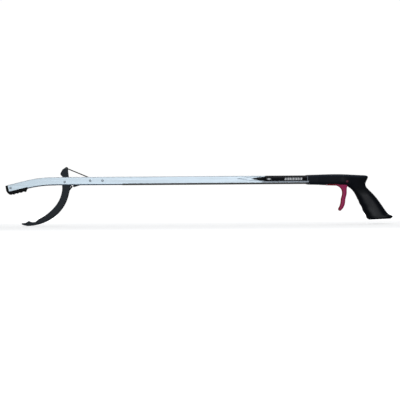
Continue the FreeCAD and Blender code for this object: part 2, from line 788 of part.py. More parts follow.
def build_spring():
    """Tension spring from the heel to the anchor pin: hook, closed coil as a sleeve, and leg."""
    heel = side_point("Sizes.pivot_x + Sizes.heel_x", "Sizes.pivot_z + Sizes.heel_z")
    anchor = side_point("Sizes.anchor_x", "Sizes.anchor_z")
    wire = size("Sizes.spring_wire")
    hook = size("Sizes.hook_radius")
    axis = (anchor - heel).normalize()
    length = (anchor - heel).Length
    coil_start = heel + axis * (2 * hook + wire + 0.4)
    anchor_hook = size("Sizes.rivet_radius") + wire + 0.15
    coil_end = anchor - axis * (anchor_hook + wire + 0.6)
    coil = Part.makeCylinder(
        size("Sizes.coil_radius"), (coil_end - coil_start).Length, coil_start, axis)
    bore = Part.makeCylinder(size("Sizes.coil_bore"), length, heel, axis)
    sleeve = coil.cut(bore)
    front_ring = Part.makeTorus(hook, wire, heel + axis * hook, axis.cross(Vector(0, 1, 0)))
    stub_start = heel + axis * (2 * hook)
    front_stub = Part.makeCylinder(wire, 4.0, stub_start, axis)
    front_cap = Part.makeCylinder(size("Sizes.coil_bore"), 1.2, coil_start + axis * 0.2, axis)
    rear_ring = Part.makeTorus(anchor_hook, wire, anchor, Vector(0, 1, 0))
    rear_stub = Part.makeCylinder(wire, 4.0, anchor - axis * (anchor_hook + 4.0), axis)
    rear_cap = Part.makeCylinder(size("Sizes.coil_bore"), 1.2, coil_end - axis * 1.4, axis)
    add_feature("return_spring_coil", sleeve)
    add_feature("return_spring_hook", front_ring.fuse([front_stub, front_cap]).removeSplitter())
    add_feature("return_spring_leg", rear_ring.fuse([rear_stub, rear_cap]).removeSplitter())


def build_trigger():
    """Red bell crank with its own trunnions and a forked eye for the cord."""
    body = new_body("trigger")
    side = new_sketch(body, "trigger_side", "XZ_Plane", trigger_corners)
    pad(body, side, "Sizes.trigger_thick")
    trunnion = circle_sketch(body, "trunnion", "XZ_Plane", "0", "0", "Sizes.trunnion_radius")
    pad(body, trunnion, "Sizes.trunnion_length")
    eye = circle_sketch(body, "arm_eye", "XZ_Plane", "Sizes.arm_x", "Sizes.arm_z",
                        "Sizes.nipple_radius + Sizes.run_clearance")
    pocket(body, eye, THROUGH)
    fork = new_sketch(body, "arm_fork", "XZ_Plane", [
        ("Sizes.arm_x - 12.0", "Sizes.arm_z - 6.0"),
        ("Sizes.arm_x + 2.0", "Sizes.arm_z - 1.4"),
        ("Sizes.arm_x + 2.0", "Sizes.arm_z + 12.0"),
        ("Sizes.arm_x - 12.0", "Sizes.arm_z + 12.0"),
    ])
    pocket(body, fork, FORK_WIDTH)
    place_at(body, "Sizes.trunnion_x", "Sizes.trunnion_z")


def slice_wire(station, inset):
    """One rounded-rectangle slice of the handle, moved inwards by a wall thickness."""
    inner = Vector(station[0], 0, station[1])
    outer = Vector(station[2], 0, station[3])
    across = (outer - inner).normalize()
    half = (outer - inner).Length / 2.0 - inset
    wide = station[4] - inset
    middle = (inner + outer) * 0.5
    corner = max(min(7.0, half * 0.62, wide * 0.62) - inset * 0.5, 1.0)
    side = Vector(0, 1, 0)

    def at(u, v):
        return middle + across * u + side * v

    flat_u = half - corner
    flat_v = wide - corner
    bow = corner * math.sqrt(0.5)
    edges = []
    for sign_u, sign_v in ((1, 1), (-1, 1), (-1, -1), (1, -1)):
        tip = (flat_u + bow) * sign_u, (flat_v + bow) * sign_v
        along_u = at(half * sign_u, flat_v * sign_v)
        along_v = at(flat_u * sign_u, wide * sign_v)
        first, last = (along_u, along_v) if sign_u * sign_v > 0 else (along_v, along_u)
        edges.append(Part.Arc(first, at(*tip), last).toShape())
    links = []
    for index, arc in enumerate(edges):
        following = edges[(index + 1) % 4]
        links += [arc, Part.makeLine(arc.valueAt(arc.LastParameter),
                                     following.valueAt(following.FirstParameter))]
    return Part.Wire(links)


def handle_solid(stations, inset):
    return Part.makeLoft([slice_wire(station, inset) for station in stations], True, True)


def prism(points, half):
    """A solid from a side-view outline, to both sides of the middle plane."""
    corners = [Vector(x, -half, z) for x, z in points]
    face = Part.Face(Part.makePolygon(corners + corners[:1]))
    return face.extrude(Vector(0, 2 * half, 0))


def cross_bore(x, z, radius, start, end):
    return Part.makeCylinder(radius, end - start, Vector(x, start, z), Vector(0, 1, 0))


def bar(rear, half, low, high):
    """A box along the shaft from ahead of the handle's mouth to the shaft's rear end."""
    front = HANDLE[0][0] - FAR
    return Part.makeBox(rear - front, 2 * half, high - low, Vector(front, -half, low))


def shaft_envelope():
    """What the shaft and its cover strip take up inside the handle, with a little play."""
    play = size("Sizes.shaft_play")
    half = size("Sizes.shaft_width") / 2.0 + play
    top = size("Sizes.shaft_top") + play
    bottom = size(SHAFT_BOTTOM) - play
    rear = size("Sizes.shaft_rear") + play
    thick = size("Sizes.cover_thick")
    cover_top = size(SHAFT_BOTTOM) + size("Sizes.cover_height") + play
    channel = bar(rear, half, bottom, top)
    return channel.fuse(bar(rear, half + thick, bottom - thick, cover_top))


def add_posts(outer, half_slot, roller_half):
    """Bosses inside the handle: for the screws, the guide roller, the trunnions and the lock."""
    lock = (size("Sizes.lock_pin_x"), size("Sizes.lock_pin_z"))
    guide = (size("Sizes.guide_x"), size("Sizes.guide_z"))
    trunnion = (size("Sizes.trunnion_x"), size("Sizes.trunnion_z"))
    posts = [cross_bore(x, z, size("Sizes.boss_radius"), -FAR, FAR) for x, z in SCREWS]
    posts.append(cross_bore(*lock, size("Sizes.lock_boss"), -FAR, FAR))
    for start, end in ((-FAR, -roller_half), (roller_half, FAR)):
        posts.append(cross_bore(*guide, size("Sizes.guide_boss"), start, end))
    washer = half_slot + size("Sizes.washer_gap")
    for start, end in ((-FAR, -washer), (washer, FAR)):
        posts.append(cross_bore(*trunnion, size("Sizes.trunnion_boss"), start, end))
    return [post.common(outer) for post in posts]


def drive_screws(left, right):
    """Sink the screws into the right half, and return both halves and the screws."""
    radius = size("Sizes.screw_radius")
    head_radius = size("Sizes.screw_head")
    head_height = size("Sizes.screw_head_height")
    sink = size("Sizes.screw_sink")
    slot_wide = size("Sizes.screw_slot_width")
    slot_deep = size("Sizes.screw_slot_depth")
    overlap = 0.1  # shank and head share this much, so that they fuse
    screws = []
    for x, z in SCREWS:
        surface = right.common(cross_bore(x, z, head_radius, 0.0, FAR)).BoundBox.YMax
        head_y = surface - sink
        end_y = head_y - size("Sizes.screw_length")
        head = Part.makeCone(radius, head_radius, head_height,
                             Vector(x, head_y - head_height, z), Vector(0, 1, 0))
        shank = cross_bore(x, z, radius, end_y, head_y - head_height + overlap)
        whole = head.fuse(shank)
        slot = Part.makeBox(2 * head_radius, slot_deep, slot_wide,
                            Vector(x - head_radius, head_y - slot_deep, z - slot_wide / 2.0))
        screws.append(whole.cut(slot))
        room = cross_bore(x, z, head_radius + overlap, head_y, FAR)
        right = right.cut(whole.fuse(room))
        left = left.cut(whole)
    return left, right, screws


def build_handle():
    """Two moulded halves: walls, bosses, roller seats and the openings for the trigger."""
    outer = handle_solid(HANDLE, 0.0)
    inner = handle_solid(HANDLE[SOLID_MOUTH - 1:-1], size("Sizes.shell_wall"))
    guide = (size("Sizes.guide_x"), size("Sizes.guide_z"))
    lock = (size("Sizes.lock_pin_x"), size("Sizes.lock_pin_z"))
    trunnion = (size("Sizes.trunnion_x"), size("Sizes.trunnion_z"))
    half_slot = size("Sizes.trigger_thick") / 2.0 + size("Sizes.slot_play")
    roller_half = size("Sizes.roller_width") / 2.0 + size("Sizes.roller_play")
    shell = outer.cut(inner).fuse(add_posts(outer, half_slot, roller_half))
    shell = shell.cut(shaft_envelope())
    guide_half = size("Sizes.guide_pin_length") / 2.0
    lock_half = size("Sizes.lock_pin_length") / 2.0
    trunnion_bore = size("Sizes.trunnion_radius + Sizes.run_clearance")
    roller_room = size("Sizes.guide_groove + Sizes.roller_flange") + size("Sizes.roller_room")
    shell = shell.cut([
        prism(MOUTH_NOTCH, FAR),
        prism(TRIGGER_SLOT, half_slot),
        prism(SKIRT, FAR),
        cross_bore(*trunnion, trunnion_bore, -FAR, FAR),
        cross_bore(*guide, size("Sizes.guide_pin_radius"), -guide_half, guide_half),
        cross_bore(*lock, size("Sizes.rivet_radius"), -lock_half, lock_half),
        cross_bore(*guide, roller_room, -roller_half, roller_half),
    ])
    bounds = shell.BoundBox
    corner = Vector(bounds.XMin, 0.0, bounds.ZMin)
    right_side = Part.makeBox(bounds.XLength, FAR, bounds.ZLength, corner)
    left_side = right_side.translated(Vector(0.0, -FAR, 0.0))
    left, right, screws = drive_screws(shell.common(left_side), shell.common(right_side))
    add_feature("handle_shell_left", left)
    add_feature("handle_shell_right", right)
    add_feature("handle_screws", Part.makeCompound(screws))


def build_pins():
    half_shaft = "Sizes.shaft_width / 2"
    rivet("claw_pivot_pin", "Sizes.pivot_x", "Sizes.pivot_z", "Sizes.pin_radius", half_shaft)
    rivet("jaw_pad_rivet", *RIVET_PLACE, "Sizes.rivet_radius", half_shaft)
    rivet("spring_anchor_pin", "Sizes.anchor_x", "Sizes.anchor_z", "Sizes.rivet_radius", half_shaft)
    rivet("front_roller_pin", "Sizes.front_roller_x", "Sizes.front_roller_z",
          "Sizes.rivet_radius", half_shaft)
    for label, across, up, radius, length in (
        ("guide_roller_pin", "Sizes.guide_x", "Sizes.guide_z", "Sizes.guide_pin_radius",
         "Sizes.guide_pin_length"),
        ("shaft_lock_pin", "Sizes.lock_pin_x", "Sizes.lock_pin_z", "Sizes.rivet_radius",
         "Sizes.lock_pin_length"),
    ):
        pin = document.addObject("Part::Cylinder", label)
        pin.Label = label
        pin.setExpression("Radius", radius)
        pin.setExpression("Height", length)
        pin.Placement = Placement(
            Vector(size(across), size(length) / 2.0, size(up)), Rotation(Vector(1, 0, 0), 90))
        pin.setExpression("Placement.Base.x", across)
        pin.setExpression("Placement.Base.y", f"{length} / 2")
        pin.setExpression("Placement.Base.z", up)
        parts.append(pin)


def build_label():
    """Thin decal folded over the shaft, with a point at its front end."""
    body = new_body("shaft_label")
    film = "Sizes.label_film"
    top = f"(Sizes.shaft_top + {film})"
    low = "Sizes.label_bottom"
    middle = f"(({top} + {low}) / 2 - 0.5)"
    corners = [
        ("Sizes.label_tip", middle),
        ("Sizes.label_front", low),
        ("Sizes.label_rear", low),
        ("Sizes.label_rear", top),
        ("Sizes.label_front", top),
    ]
    blank = pad(body, new_sketch(body, "label_side", "XZ_Plane", corners),
                f"Sizes.shaft_width + 2 * {film}")

    def top_edge(edge):
        box = edge.BoundBox
        return abs(box.ZMin - size(top)) < 0.01 and box.XLength > 10.0

    fillet(body, blank, f"Sizes.top_round + {film}", top_edge)
    gap = "0.005"
    half = f"(Sizes.shaft_width / 2 + {gap})"
    high = f"(Sizes.shaft_top + {gap})"
    bend = "Sizes.top_round"
    bore = new_sketch(body, "label_bore", "YZ_Plane", [
        (f"-{half}", "20"),
        (half, "20"),
        (half, f"{high} - {bend}"),
        (f"{half} - {bend}", high, bend, -1),
        (f"-{half} + {bend}", high),
        (f"-{half}", f"{high} - {bend}", bend, -1),
    ])
    pocket(body, bore, "Sizes.shaft_rear - Sizes.bend_start")


build_shaft()
build_cover()
build_pad()
build_claw()
build_pins()
roller("front_roller", "Sizes.front_roller_x", "Sizes.front_roller_z",
       "Sizes.front_roller_groove", "Sizes.rivet_radius + Sizes.run_clearance")
roller("guide_roller", "Sizes.guide_x", "Sizes.guide_z",
       "Sizes.guide_groove", "Sizes.guide_pin_radius + Sizes.run_clearance")
build_spring()
build_cord()
build_label()
build_trigger()
build_handle()
document.recompute()

for item in document.Objects:
    if "Invalid" in item.State or "Error" in item.State:
        raise RuntimeError(f"{item.Name} did not compute: {item.State}")
os.makedirs("parts", exist_ok=True)
for part in parts:
    if part.Shape.isNull() or not part.Shape.isValid():
        raise RuntimeError(f"{part.Label} has no valid shape")
    part.Shape.exportStep(f"parts/{part.Label}.step")
    print(part.Label, "solids", len(part.Shape.Solids), "volume", round(part.Shape.Volume, 1))
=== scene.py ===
import math

import bmesh
import bpy
from mathutils import Matrix, Vector


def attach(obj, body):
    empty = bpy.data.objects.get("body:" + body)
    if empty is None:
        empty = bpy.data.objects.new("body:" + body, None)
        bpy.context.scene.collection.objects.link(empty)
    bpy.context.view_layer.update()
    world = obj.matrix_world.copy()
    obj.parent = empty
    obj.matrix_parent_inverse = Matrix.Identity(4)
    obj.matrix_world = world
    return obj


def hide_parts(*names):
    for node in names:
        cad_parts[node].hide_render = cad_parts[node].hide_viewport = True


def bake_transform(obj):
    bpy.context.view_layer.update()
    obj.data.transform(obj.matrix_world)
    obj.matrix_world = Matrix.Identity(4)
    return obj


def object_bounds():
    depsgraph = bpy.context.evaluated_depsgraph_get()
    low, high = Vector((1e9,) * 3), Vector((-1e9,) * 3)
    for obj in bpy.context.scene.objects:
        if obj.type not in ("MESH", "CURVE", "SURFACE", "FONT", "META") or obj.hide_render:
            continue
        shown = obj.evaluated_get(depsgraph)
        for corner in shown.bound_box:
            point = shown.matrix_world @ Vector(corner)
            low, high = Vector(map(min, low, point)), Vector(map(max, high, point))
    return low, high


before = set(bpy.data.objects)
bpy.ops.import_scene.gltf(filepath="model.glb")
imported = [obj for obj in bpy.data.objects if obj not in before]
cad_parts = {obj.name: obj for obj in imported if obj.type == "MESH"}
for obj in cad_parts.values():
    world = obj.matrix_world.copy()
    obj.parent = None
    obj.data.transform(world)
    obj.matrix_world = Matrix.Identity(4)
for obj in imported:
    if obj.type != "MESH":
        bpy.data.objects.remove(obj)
cad_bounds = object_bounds()

# Reacher grabber, in metres, in the CAD frame: +X from the jaws to the handle, +Y away from the
# viewer, +Z up. Sizes and tables are in millimetres unless a comment says otherwise, and MM turns
# them into metres. They repeat the CAD's numbers, apart from the cord's radius, the hole in the
# claw's heel and the label's outline, and from details that only this model has.
MM = 0.001
FAR = 40.0  # past every piece, for cutters that go right through

SHAFT_HALF = 7.5
SHAFT_TOP = 54.2
SHAFT_BOTTOM = 36.2
BEND_START = -683.3
BEND_RADIUS = 250.0
NOSE_TURN = math.radians(13.5)
NOSE_LENGTH = 41.0
NOSE_DEPTH = 14.4
PIVOT = (-657.6, 43.8)
ANCHOR = (-602.2, 46.1)
FRONT_ROLLER = (-575.8, 45.9)
FRONT_REACH = 5.0  # groove and cord radius together
GUIDE_ROLLER = (-97.0, 38.4)
GUIDE_REACH = 4.0
EYE = (4.0, 29.5)  # from the claw's pivot
HEEL = (12.9, -10.8)
TRUNNION = (-45.7, 40.7)
ARM_EYE = (-43.3, -5.6)  # from the trunnions
CORD_RADIUS = 1.25  # 1.1 in the CAD; the strands take some of it away
CORD_JOINT_X = -603.0
NIPPLE_RADIUS = 1.6

# Side outlines: a third and a fourth value are the radius of the arc that leads to the corner and
# the side that it bulges to, 1 for the left of the way round.
CLAW = [
    (-5.1, 9.7), (-5.1, 11.4), (-8.7, 14.9), (-9.0, 18.8, 3.4, 1), (-5.2, 26.6), (1.9, 31.5),
    (6.9, 29.3, 2.9, 1), (7.5, 20.4), (8.6, 10.4), (9.0, 2.0), (12.0, -5.0), (15.9, -9.6),
    (15.8, -12.4, 2.2, 1), (10.5, -18.7), (9.0, -23.0), (-24.6, -77.0, 84.0, 1),
    (-80.8, -95.1, 103.0, 1), (-91.6, -92.6, 60.0, 1), (-93.9, -88.9, 2.6, 1), (-85.1, -88.3),
    (-81.2, -85.6), (-76.2, -85.5, 3.2, 1), (-72.0, -87.0), (-65.0, -86.6), (-61.8, -84.2),
    (-56.6, -79.8), (-21.0, -52.6, 100.0, -1), (-5.5, -14.2, 66.0, -1), (-5.9, -5.5),
]
PAD = [
    (-0.3, 13.9), (-5.0, 13.9), (-5.9, 2.7), (-4.0, -2.9), (-0.5, -7.0), (2.2, -8.0),
    (5.2, -7.2), (8.1, -9.0), (13.5, -6.9), (16.1, -8.7), (20.8, -7.3), (24.1, -8.9),
    (29.8, -7.2), (34.2, -9.7), (36.7, -7.0), (38.2, -4.4), (40.7, -3.6), (40.7, -0.3),
    (-0.3, -0.3),
]
PLUG = [(-0.4, 11.4), (-0.4, -0.4), (44.0, -0.4), (40.0, 11.4)]
TRIGGER = [
    (-46.7, -8.4), (-23.6, -9.0), (-10.6, -22.5, 15.6, 1), (-10.6, -28.4), (-13.2, -37.2),
    (-14.0, -45.4), (-15.6, -52.0), (-19.2, -58.6), (-12.6, -62.6, 3.9, -1), (-8.0, -57.4),
    (-5.2, -51.2), (-3.9, -44.9), (-3.6, -39.0), (-1.9, -32.5), (-0.4, -26.3), (-0.3, -13.6),
    (5.2, -3.0), (-3.0, 5.2, 6.0, -1), (-24.0, -0.8), (-40.0, -3.0), (-46.0, -3.4),
]
# Handle slices: inner edge x and z, outer edge x and z, half width.
HANDLE = [
    (-135.4, 35.2, -135.4, 54.9, 9.2), (-129.0, 34.2, -129.0, 55.4, 11.0),
    (-112.0, 33.7, -112.0, 55.8, 12.0), (-90.0, 32.6, -90.0, 56.4, 12.9),
    (-70.0, 32.1, -70.0, 56.6, 13.2), (-60.0, 32.2, -54.0, 56.3, 13.3),
    (-50.0, 32.2, -37.0, 55.3, 13.3), (-45.0, 30.2, -19.0, 54.3, 13.3),
    (-42.6, 28.2, -5.0, 53.4, 13.2), (-41.0, 27.2, -0.2, 51.0, 13.0),
    (-39.4, 26.2, -0.6, 47.0, 13.0), (-37.4, 24.8, -4.2, 39.4, 13.2),
    (-35.2, 22.8, -5.6, 34.0, 13.6), (-32.4, 19.6, -3.6, 28.4, 14.2),
    (-29.0, 14.6, 1.6, 22.4, 14.8), (-25.4, 7.6, 9.6, 14.4, 15.2),
    (-21.4, -1.2, 18.2, 4.6, 15.4), (-16.8, -10.0, 27.0, -7.4, 15.5),
    (-13.0, -18.6, 33.6, -17.2, 15.6), (-8.8, -27.2, 40.6, -27.0, 16.0),
    (-6.4, -31.6, 46.2, -31.4, 16.4), (-4.6, -35.8, 52.0, -34.0, 16.8),
    (-2.4, -39.8, 53.4, -37.4, 16.8), (1.4, -42.6, 48.4, -40.8, 15.6),
]
SCREWS = [(-64.0, 49.6), (-19.0, 42.0), (-6.0, 10.0), (22.0, -27.0)]


# Materials


def srgb(red, green, blue):
    """A linear colour from 0-255 sRGB values."""
    linear = []
    for value in (red, green, blue):
        share = value / 255.0
        linear.append(share / 12.92 if share <= 0.04045 else ((share + 0.055) / 1.055) ** 2.4)
    return (*linear, 1.0)


class Finish:
    """A Principled material and the few nodes that the finishes here share."""

    def __init__(self, name, roughness, metallic=0.0, specular=0.5):
        self.material = bpy.data.materials.new(name)
        self.material.use_nodes = True
        self.nodes = self.material.node_tree.nodes
        self.links = self.material.node_tree.links
        self.shader = next(n for n in self.nodes if n.type == "BSDF_PRINCIPLED")
        self.shader.inputs["Roughness"].default_value = roughness
        self.shader.inputs["Metallic"].default_value = metallic
        self.shader.inputs["Specular IOR Level"].default_value = specular
        self.place = self.nodes.new("ShaderNodeTexCoord").outputs["Object"]

    def noise(self, stretch, detail=3.0, roughness=0.55):
        """Noise in object space, with so many features a metre along each axis."""
        mapping = self.nodes.new("ShaderNodeMapping")
        mapping.inputs["Scale"].default_value = stretch
        self.links.new(self.place, mapping.inputs["Vector"])
        noise = self.nodes.new("ShaderNodeTexNoise")
        noise.inputs["Scale"].default_value = 1.0
        noise.inputs["Detail"].default_value = detail
        noise.inputs["Roughness"].default_value = roughness
        self.links.new(mapping.outputs["Vector"], noise.inputs["Vector"])
        return noise.outputs["Fac"]

    def span(self, value, low, high, start=0.0, end=1.0):
        """A value's range from low to high, mapped to start to end and held there."""
        node = self.nodes.new("ShaderNodeMapRange")
        node.inputs["From Min"].default_value = low
        node.inputs["From Max"].default_value = high
        node.inputs["To Min"].default_value = start
        node.inputs["To Max"].default_value = end
        self.links.new(value, node.inputs["Value"])
        return node.outputs["Result"]

    def spread(self, noise, start=0.0, end=1.0):
        """Noise mapped to start to end over the range that most of it lies in."""
        return self.span(noise, 0.3, 0.7, start, end)

    def axis(self, which, source=None):
        """X, Y or Z of the place in object space, or of another vector."""
        node = self.nodes.new("ShaderNodeSeparateXYZ")
        self.links.new(source or self.place, node.inputs["Vector"])
        return node.outputs[which]

    def zone(self, which, low, high, start=0.0, end=1.0):
        """A span along one axis of object space, in millimetres."""
        return self.span(self.axis(which), low * MM, high * MM, start, end)

    def facing(self, which, low, high, start=0.0, end=1.0):
        """A span of one part of the surface's outward direction, from -1 to 1."""
        normal = self.nodes.new("ShaderNodeNewGeometry").outputs["Normal"]
        return self.span(self.axis(which, normal), low, high, start, end)

    def mix(self, share, first, second):
        """First where share is 0, second where it is 1. Each is a colour or a socket."""
        node = self.nodes.new("ShaderNodeMix")
        node.data_type = "RGBA"
        self.links.new(share, node.inputs["Factor"])
        for name, colour in (("A", first), ("B", second)):
            socket = next(s for s in node.inputs if s.name == name and s.type == "RGBA")
            if isinstance(colour, tuple):
                socket.default_value = colour
            else:
                self.links.new(colour, socket)
        return next(s for s in node.outputs if s.type == "RGBA")

    def join(self, operation, first, second):
        """One operation on two values, each a float or a socket."""
        node = self.nodes.new("ShaderNodeMath")
        node.operation = operation
        for socket, value in zip(node.inputs, (first, second)):
            if isinstance(value, float):
                socket.default_value = value
            else:
                self.links.new(value, socket)
        return node.outputs["Value"]

    def colour(self, socket):
        self.links.new(socket, self.shader.inputs["Base Color"])

    def rough(self, socket):
        self.links.new(socket, self.shader.inputs["Roughness"])

    def bump(self, height, distance):
        """Raise the surface by the height value, so many millimetres at most."""
        node = self.nodes.new("ShaderNodeBump")
        node.inputs["Distance"].default_value = distance * MM
        node.inputs["Strength"].default_value = 1.0
        self.links.new(height, node.inputs["Height"])
        self.links.new(node.outputs["Normal"], self.shader.inputs["Normal"])


ALUMINIUM = (srgb(214, 229, 240), srgb(230, 243, 252))
ALUMINIUM_MOTTLE = srgb(190, 208, 218)
ALUMINIUM_NOSE_SHADE = srgb(186, 208, 212)
ALUMINIUM_TOP_SHADE = srgb(196, 199, 206)
ALUMINIUM_LIP_SHADE = srgb(100, 114, 132)


def make_aluminium():
    """Satin anodised channel: long fine streaks, faint mottling, and painted shade towards the
    nose, on the upward faces, and on the turned-in lips and the lower edge.
    """
    finish = Finish("aluminium_satin", 0.42, metallic=0.35)
    streaks = finish.noise((7.0, 900.0, 900.0), detail=5.0)
    mottle = finish.noise((45.0, 45.0, 45.0), detail=2.0)
    face = finish.mix(finish.spread(streaks), *ALUMINIUM)
    face = finish.mix(finish.span(mottle, 0.35, 0.75, 0.0, 0.18), face, ALUMINIUM_MOTTLE)
    # Painted shade: the side darkens a little towards the nose, where less light falls.
    face = finish.mix(finish.zone("X", -790.0, -550.0, 0.15, 0.0), face, ALUMINIUM_NOSE_SHADE)
    # Painted shade: the upward faces are greyer.
    face = finish.mix(finish.facing("Z", 0.25, 0.8, 0.0, 0.8), face, ALUMINIUM_TOP_SHADE)
    # Painted shade: the lower edge behind the bend and the downward faces of the turned-in lips
    # are dark blue-grey.
    lower_edge = finish.join("MULTIPLY", finish.zone("Z", 39.2, 38.4),
                             finish.zone("X", -690.0, -683.0))
    lip = finish.join("MAXIMUM", lower_edge, finish.facing("Z", -0.05, -0.35))
    finish.colour(finish.mix(lip, face, ALUMINIUM_LIP_SHADE))
    finish.rough(finish.spread(streaks, 0.36, 0.5))
    finish.bump(streaks, 0.03)
    return finish.material


def make_plastic(name, shades, roughness, grain, depth, specular=0.5):
    """Moulded plastic: two close shades, a fine spark-eroded grain and a slightly uneven gloss.
    Grain is in marks a metre, and depth in millimetres."""
    finish = Finish(name, roughness, specular=specular)
    cloud = finish.noise((30.0, 30.0, 30.0), detail=4.0)
    grit = finish.noise((grain, grain, grain), detail=2.0)
    shade = finish.mix(finish.spread(cloud), *shades)
    finish.colour(shade)
    finish.rough(finish.spread(cloud, roughness - 0.04, roughness + 0.05))
    finish.bump(grit, depth)
    return finish, shade


HANDLE_PLASTIC = (srgb(4, 7, 13), srgb(9, 13, 22))
HANDLE_COLLAR = srgb(34, 40, 50)
HANDLE_HOUSING = srgb(11, 19, 31)
HANDLE_TOP_HIGHLIGHT = srgb(30, 40, 53)
GRIP_ROUGHNESS = 0.40
WEB_ROUGHNESS = 0.78


def make_handle():
    """Blue-black satin plastic, a shade greyer at the collar and along the housing, and duller
    there and on the web above the grip, with a painted highlight along the top of the housing."""
    finish, shade = make_plastic("handle_satin", HANDLE_PLASTIC, 0.42, 1600.0, 0.05,
                                 specular=0.17)
    shade = finish.mix(finish.zone("X", -107.6, -106.8, 0.5, 0.0), shade, HANDLE_COLLAR)
    shade = finish.mix(finish.zone("X", -100.0, -20.0, 0.75, 0.0), shade, HANDLE_HOUSING)
    # Painted highlight: a lighter blue-grey on the upward faces along the housing's top.
    top_highlight = finish.join("MULTIPLY", finish.facing("Z", 0.2, 0.7, 0.0, 0.7),
                        finish.zone("Z", 46.0, 52.0))
    finish.colour(finish.mix(top_highlight, shade, HANDLE_TOP_HIGHLIGHT))
    web = finish.join("MULTIPLY", finish.zone("X", -62.0, -36.0), finish.zone("Z", 10.0, 26.0))
    front = finish.zone("X", -62.0, -50.0, 0.55, 0.0)
    dull = finish.span(finish.join("MAXIMUM", web, front), 0.0, 1.0, GRIP_ROUGHNESS,
                       WEB_ROUGHNESS)
    uneven = finish.spread(finish.noise((45.0, 45.0, 45.0)), -0.03, 0.04)
    finish.rough(finish.join("ADD", dull, uneven))
    return finish.material


CLAW_NYLON = (srgb(34, 41, 48), srgb(44, 50, 56))
CLAW_RUBBED = srgb(92, 96, 98)
CLAW_REAR_SHADE = srgb(22, 25, 30)


def make_claw():
    """Glass-filled nylon: dull slate black, with pale rub marks towards the fingertip and painted
    shade on the faces that look back towards the handle.
    """
    finish, shade = make_plastic("claw_nylon", CLAW_NYLON, 0.55, 1100.0, 0.08, specular=0.22)
    scuffs = finish.noise((160.0, 160.0, 900.0), detail=6.0, roughness=0.7)
    rubbed = finish.join("MULTIPLY", finish.span(scuffs, 0.62, 0.72, 0.0, 0.35),
                         finish.zone("Z", -52.0, -20.0, 1.0, 0.15))
    shade = finish.mix(rubbed, shade, CLAW_RUBBED)
    # Painted shade: the faces that look back towards the handle are darker.
    finish.colour(finish.mix(finish.facing("X", 0.25, 0.6), shade, CLAW_REAR_SHADE))
    return finish.material


RUBBER = (srgb(10, 11, 13), srgb(20, 21, 23))
RUBBER_DUST = srgb(58, 58, 56)


def make_rubber():
    """Dull black rubber with a little pale dust on it."""
    finish, shade = make_plastic("jaw_rubber_black", RUBBER, 0.72, 800.0, 0.12, specular=0.2)
    dust = finish.span(finish.noise((220.0, 220.0, 220.0), detail=5.0), 0.58, 0.75, 0.0, 0.4)
    finish.colour(finish.mix(dust, shade, RUBBER_DUST))
    return finish.material


TRIGGER_PLASTIC = (srgb(178, 24, 92), srgb(196, 34, 106))
TRIGGER_FRONT_SHADE = srgb(158, 10, 34)
TRIGGER_ARM_SHADE = srgb(150, 26, 34)
TRUNNION_END_SHADE = srgb(96, 16, 50)


def make_trigger():
    """Crimson semi-gloss plastic, with a deeper red painted shade on its front-facing faces and
    on its arm under the housing, and a dark painted shade on the ends of its trunnions."""
    finish, shade = make_plastic("trigger_crimson", TRIGGER_PLASTIC, 0.36, 1900.0, 0.03,
                                 specular=0.14)
    # Painted shade: the front-facing faces are a deeper, darker red.
    shade = finish.mix(finish.facing("X", -0.05, -0.5), shade, TRIGGER_FRONT_SHADE)
    # Painted shade: the arm, where it runs under the housing, is a deeper, darker red.
    shade = finish.mix(finish.zone("X", -56.0, -74.0), shade, TRIGGER_ARM_SHADE)
    # Painted shade: the ends of the trunnions, sunk in the handle's bores, are darker.
    aside = finish.join("ABSOLUTE", finish.axis("Y"), 0.0)
    finish.colour(finish.mix(finish.span(aside, 11.5 * MM, 11.9 * MM), shade, TRUNNION_END_SHADE))
    return finish.material


def make_metal(name, shades, roughness, metallic=0.9):
    """Plated or oiled steel: cloudy plating, with a matching unevenness in its gloss and a faint
    bump.
    """
    finish = Finish(name, roughness, metallic=metallic)
    cloud = finish.noise((500.0, 500.0, 500.0), detail=5.0)
    finish.colour(finish.mix(finish.spread(cloud), *shades))
    finish.rough(finish.spread(cloud, roughness - 0.08, roughness + 0.1))
    finish.bump(cloud, 0.03)
    return finish.material


FILM = (srgb(10, 12, 17), srgb(19, 21, 28))


def make_film():
    """Satin black vinyl with a faint orange-peel surface."""
    finish, _ = make_plastic("label_vinyl", FILM, 0.4, 700.0, 0.02, specular=0.2)
    return finish.material


INK_WHITE = (srgb(214, 217, 220), srgb(236, 238, 240))
INK_SLATE = (srgb(104, 120, 138), srgb(126, 142, 158))
INK_SILVER = (srgb(122, 132, 144), srgb(144, 154, 166))


def make_ink(name, shades, metallic=0.0):
    """Printed ink or foil with slightly uneven cover."""
    finish = Finish(name, 0.45, metallic=metallic)
    cover = finish.noise((300.0, 300.0, 300.0), detail=3.0)
    finish.colour(finish.mix(finish.span(cover, 0.35, 0.65), *shades))
    finish.bump(cover, 0.01)
    return finish.material


COVER_GREY = (srgb(80, 81, 81), srgb(100, 99, 97))


def make_cover():
    """Dark grey strip with long extrusion lines."""
    finish = Finish("cover_strip_grey", 0.5, specular=0.3)
    lines = finish.noise((9.0, 1100.0, 1100.0), detail=4.0)
    finish.colour(finish.mix(finish.spread(lines), *COVER_GREY))
    finish.bump(lines, 0.05)
    return finish.material


# Mesh tools


def new_object(name, points, faces, smooth=True):
    """A mesh object in the scene, from points in metres."""
    mesh = bpy.data.meshes.new(name)
    mesh.from_pydata([tuple(point) for point in points], [], faces)
    mesh.validate()
    mesh.polygons.foreach_set("use_smooth", [smooth] * len(mesh.polygons))
    obj = bpy.data.objects.new(name, mesh)
    bpy.context.scene.collection.objects.link(obj)
    return obj


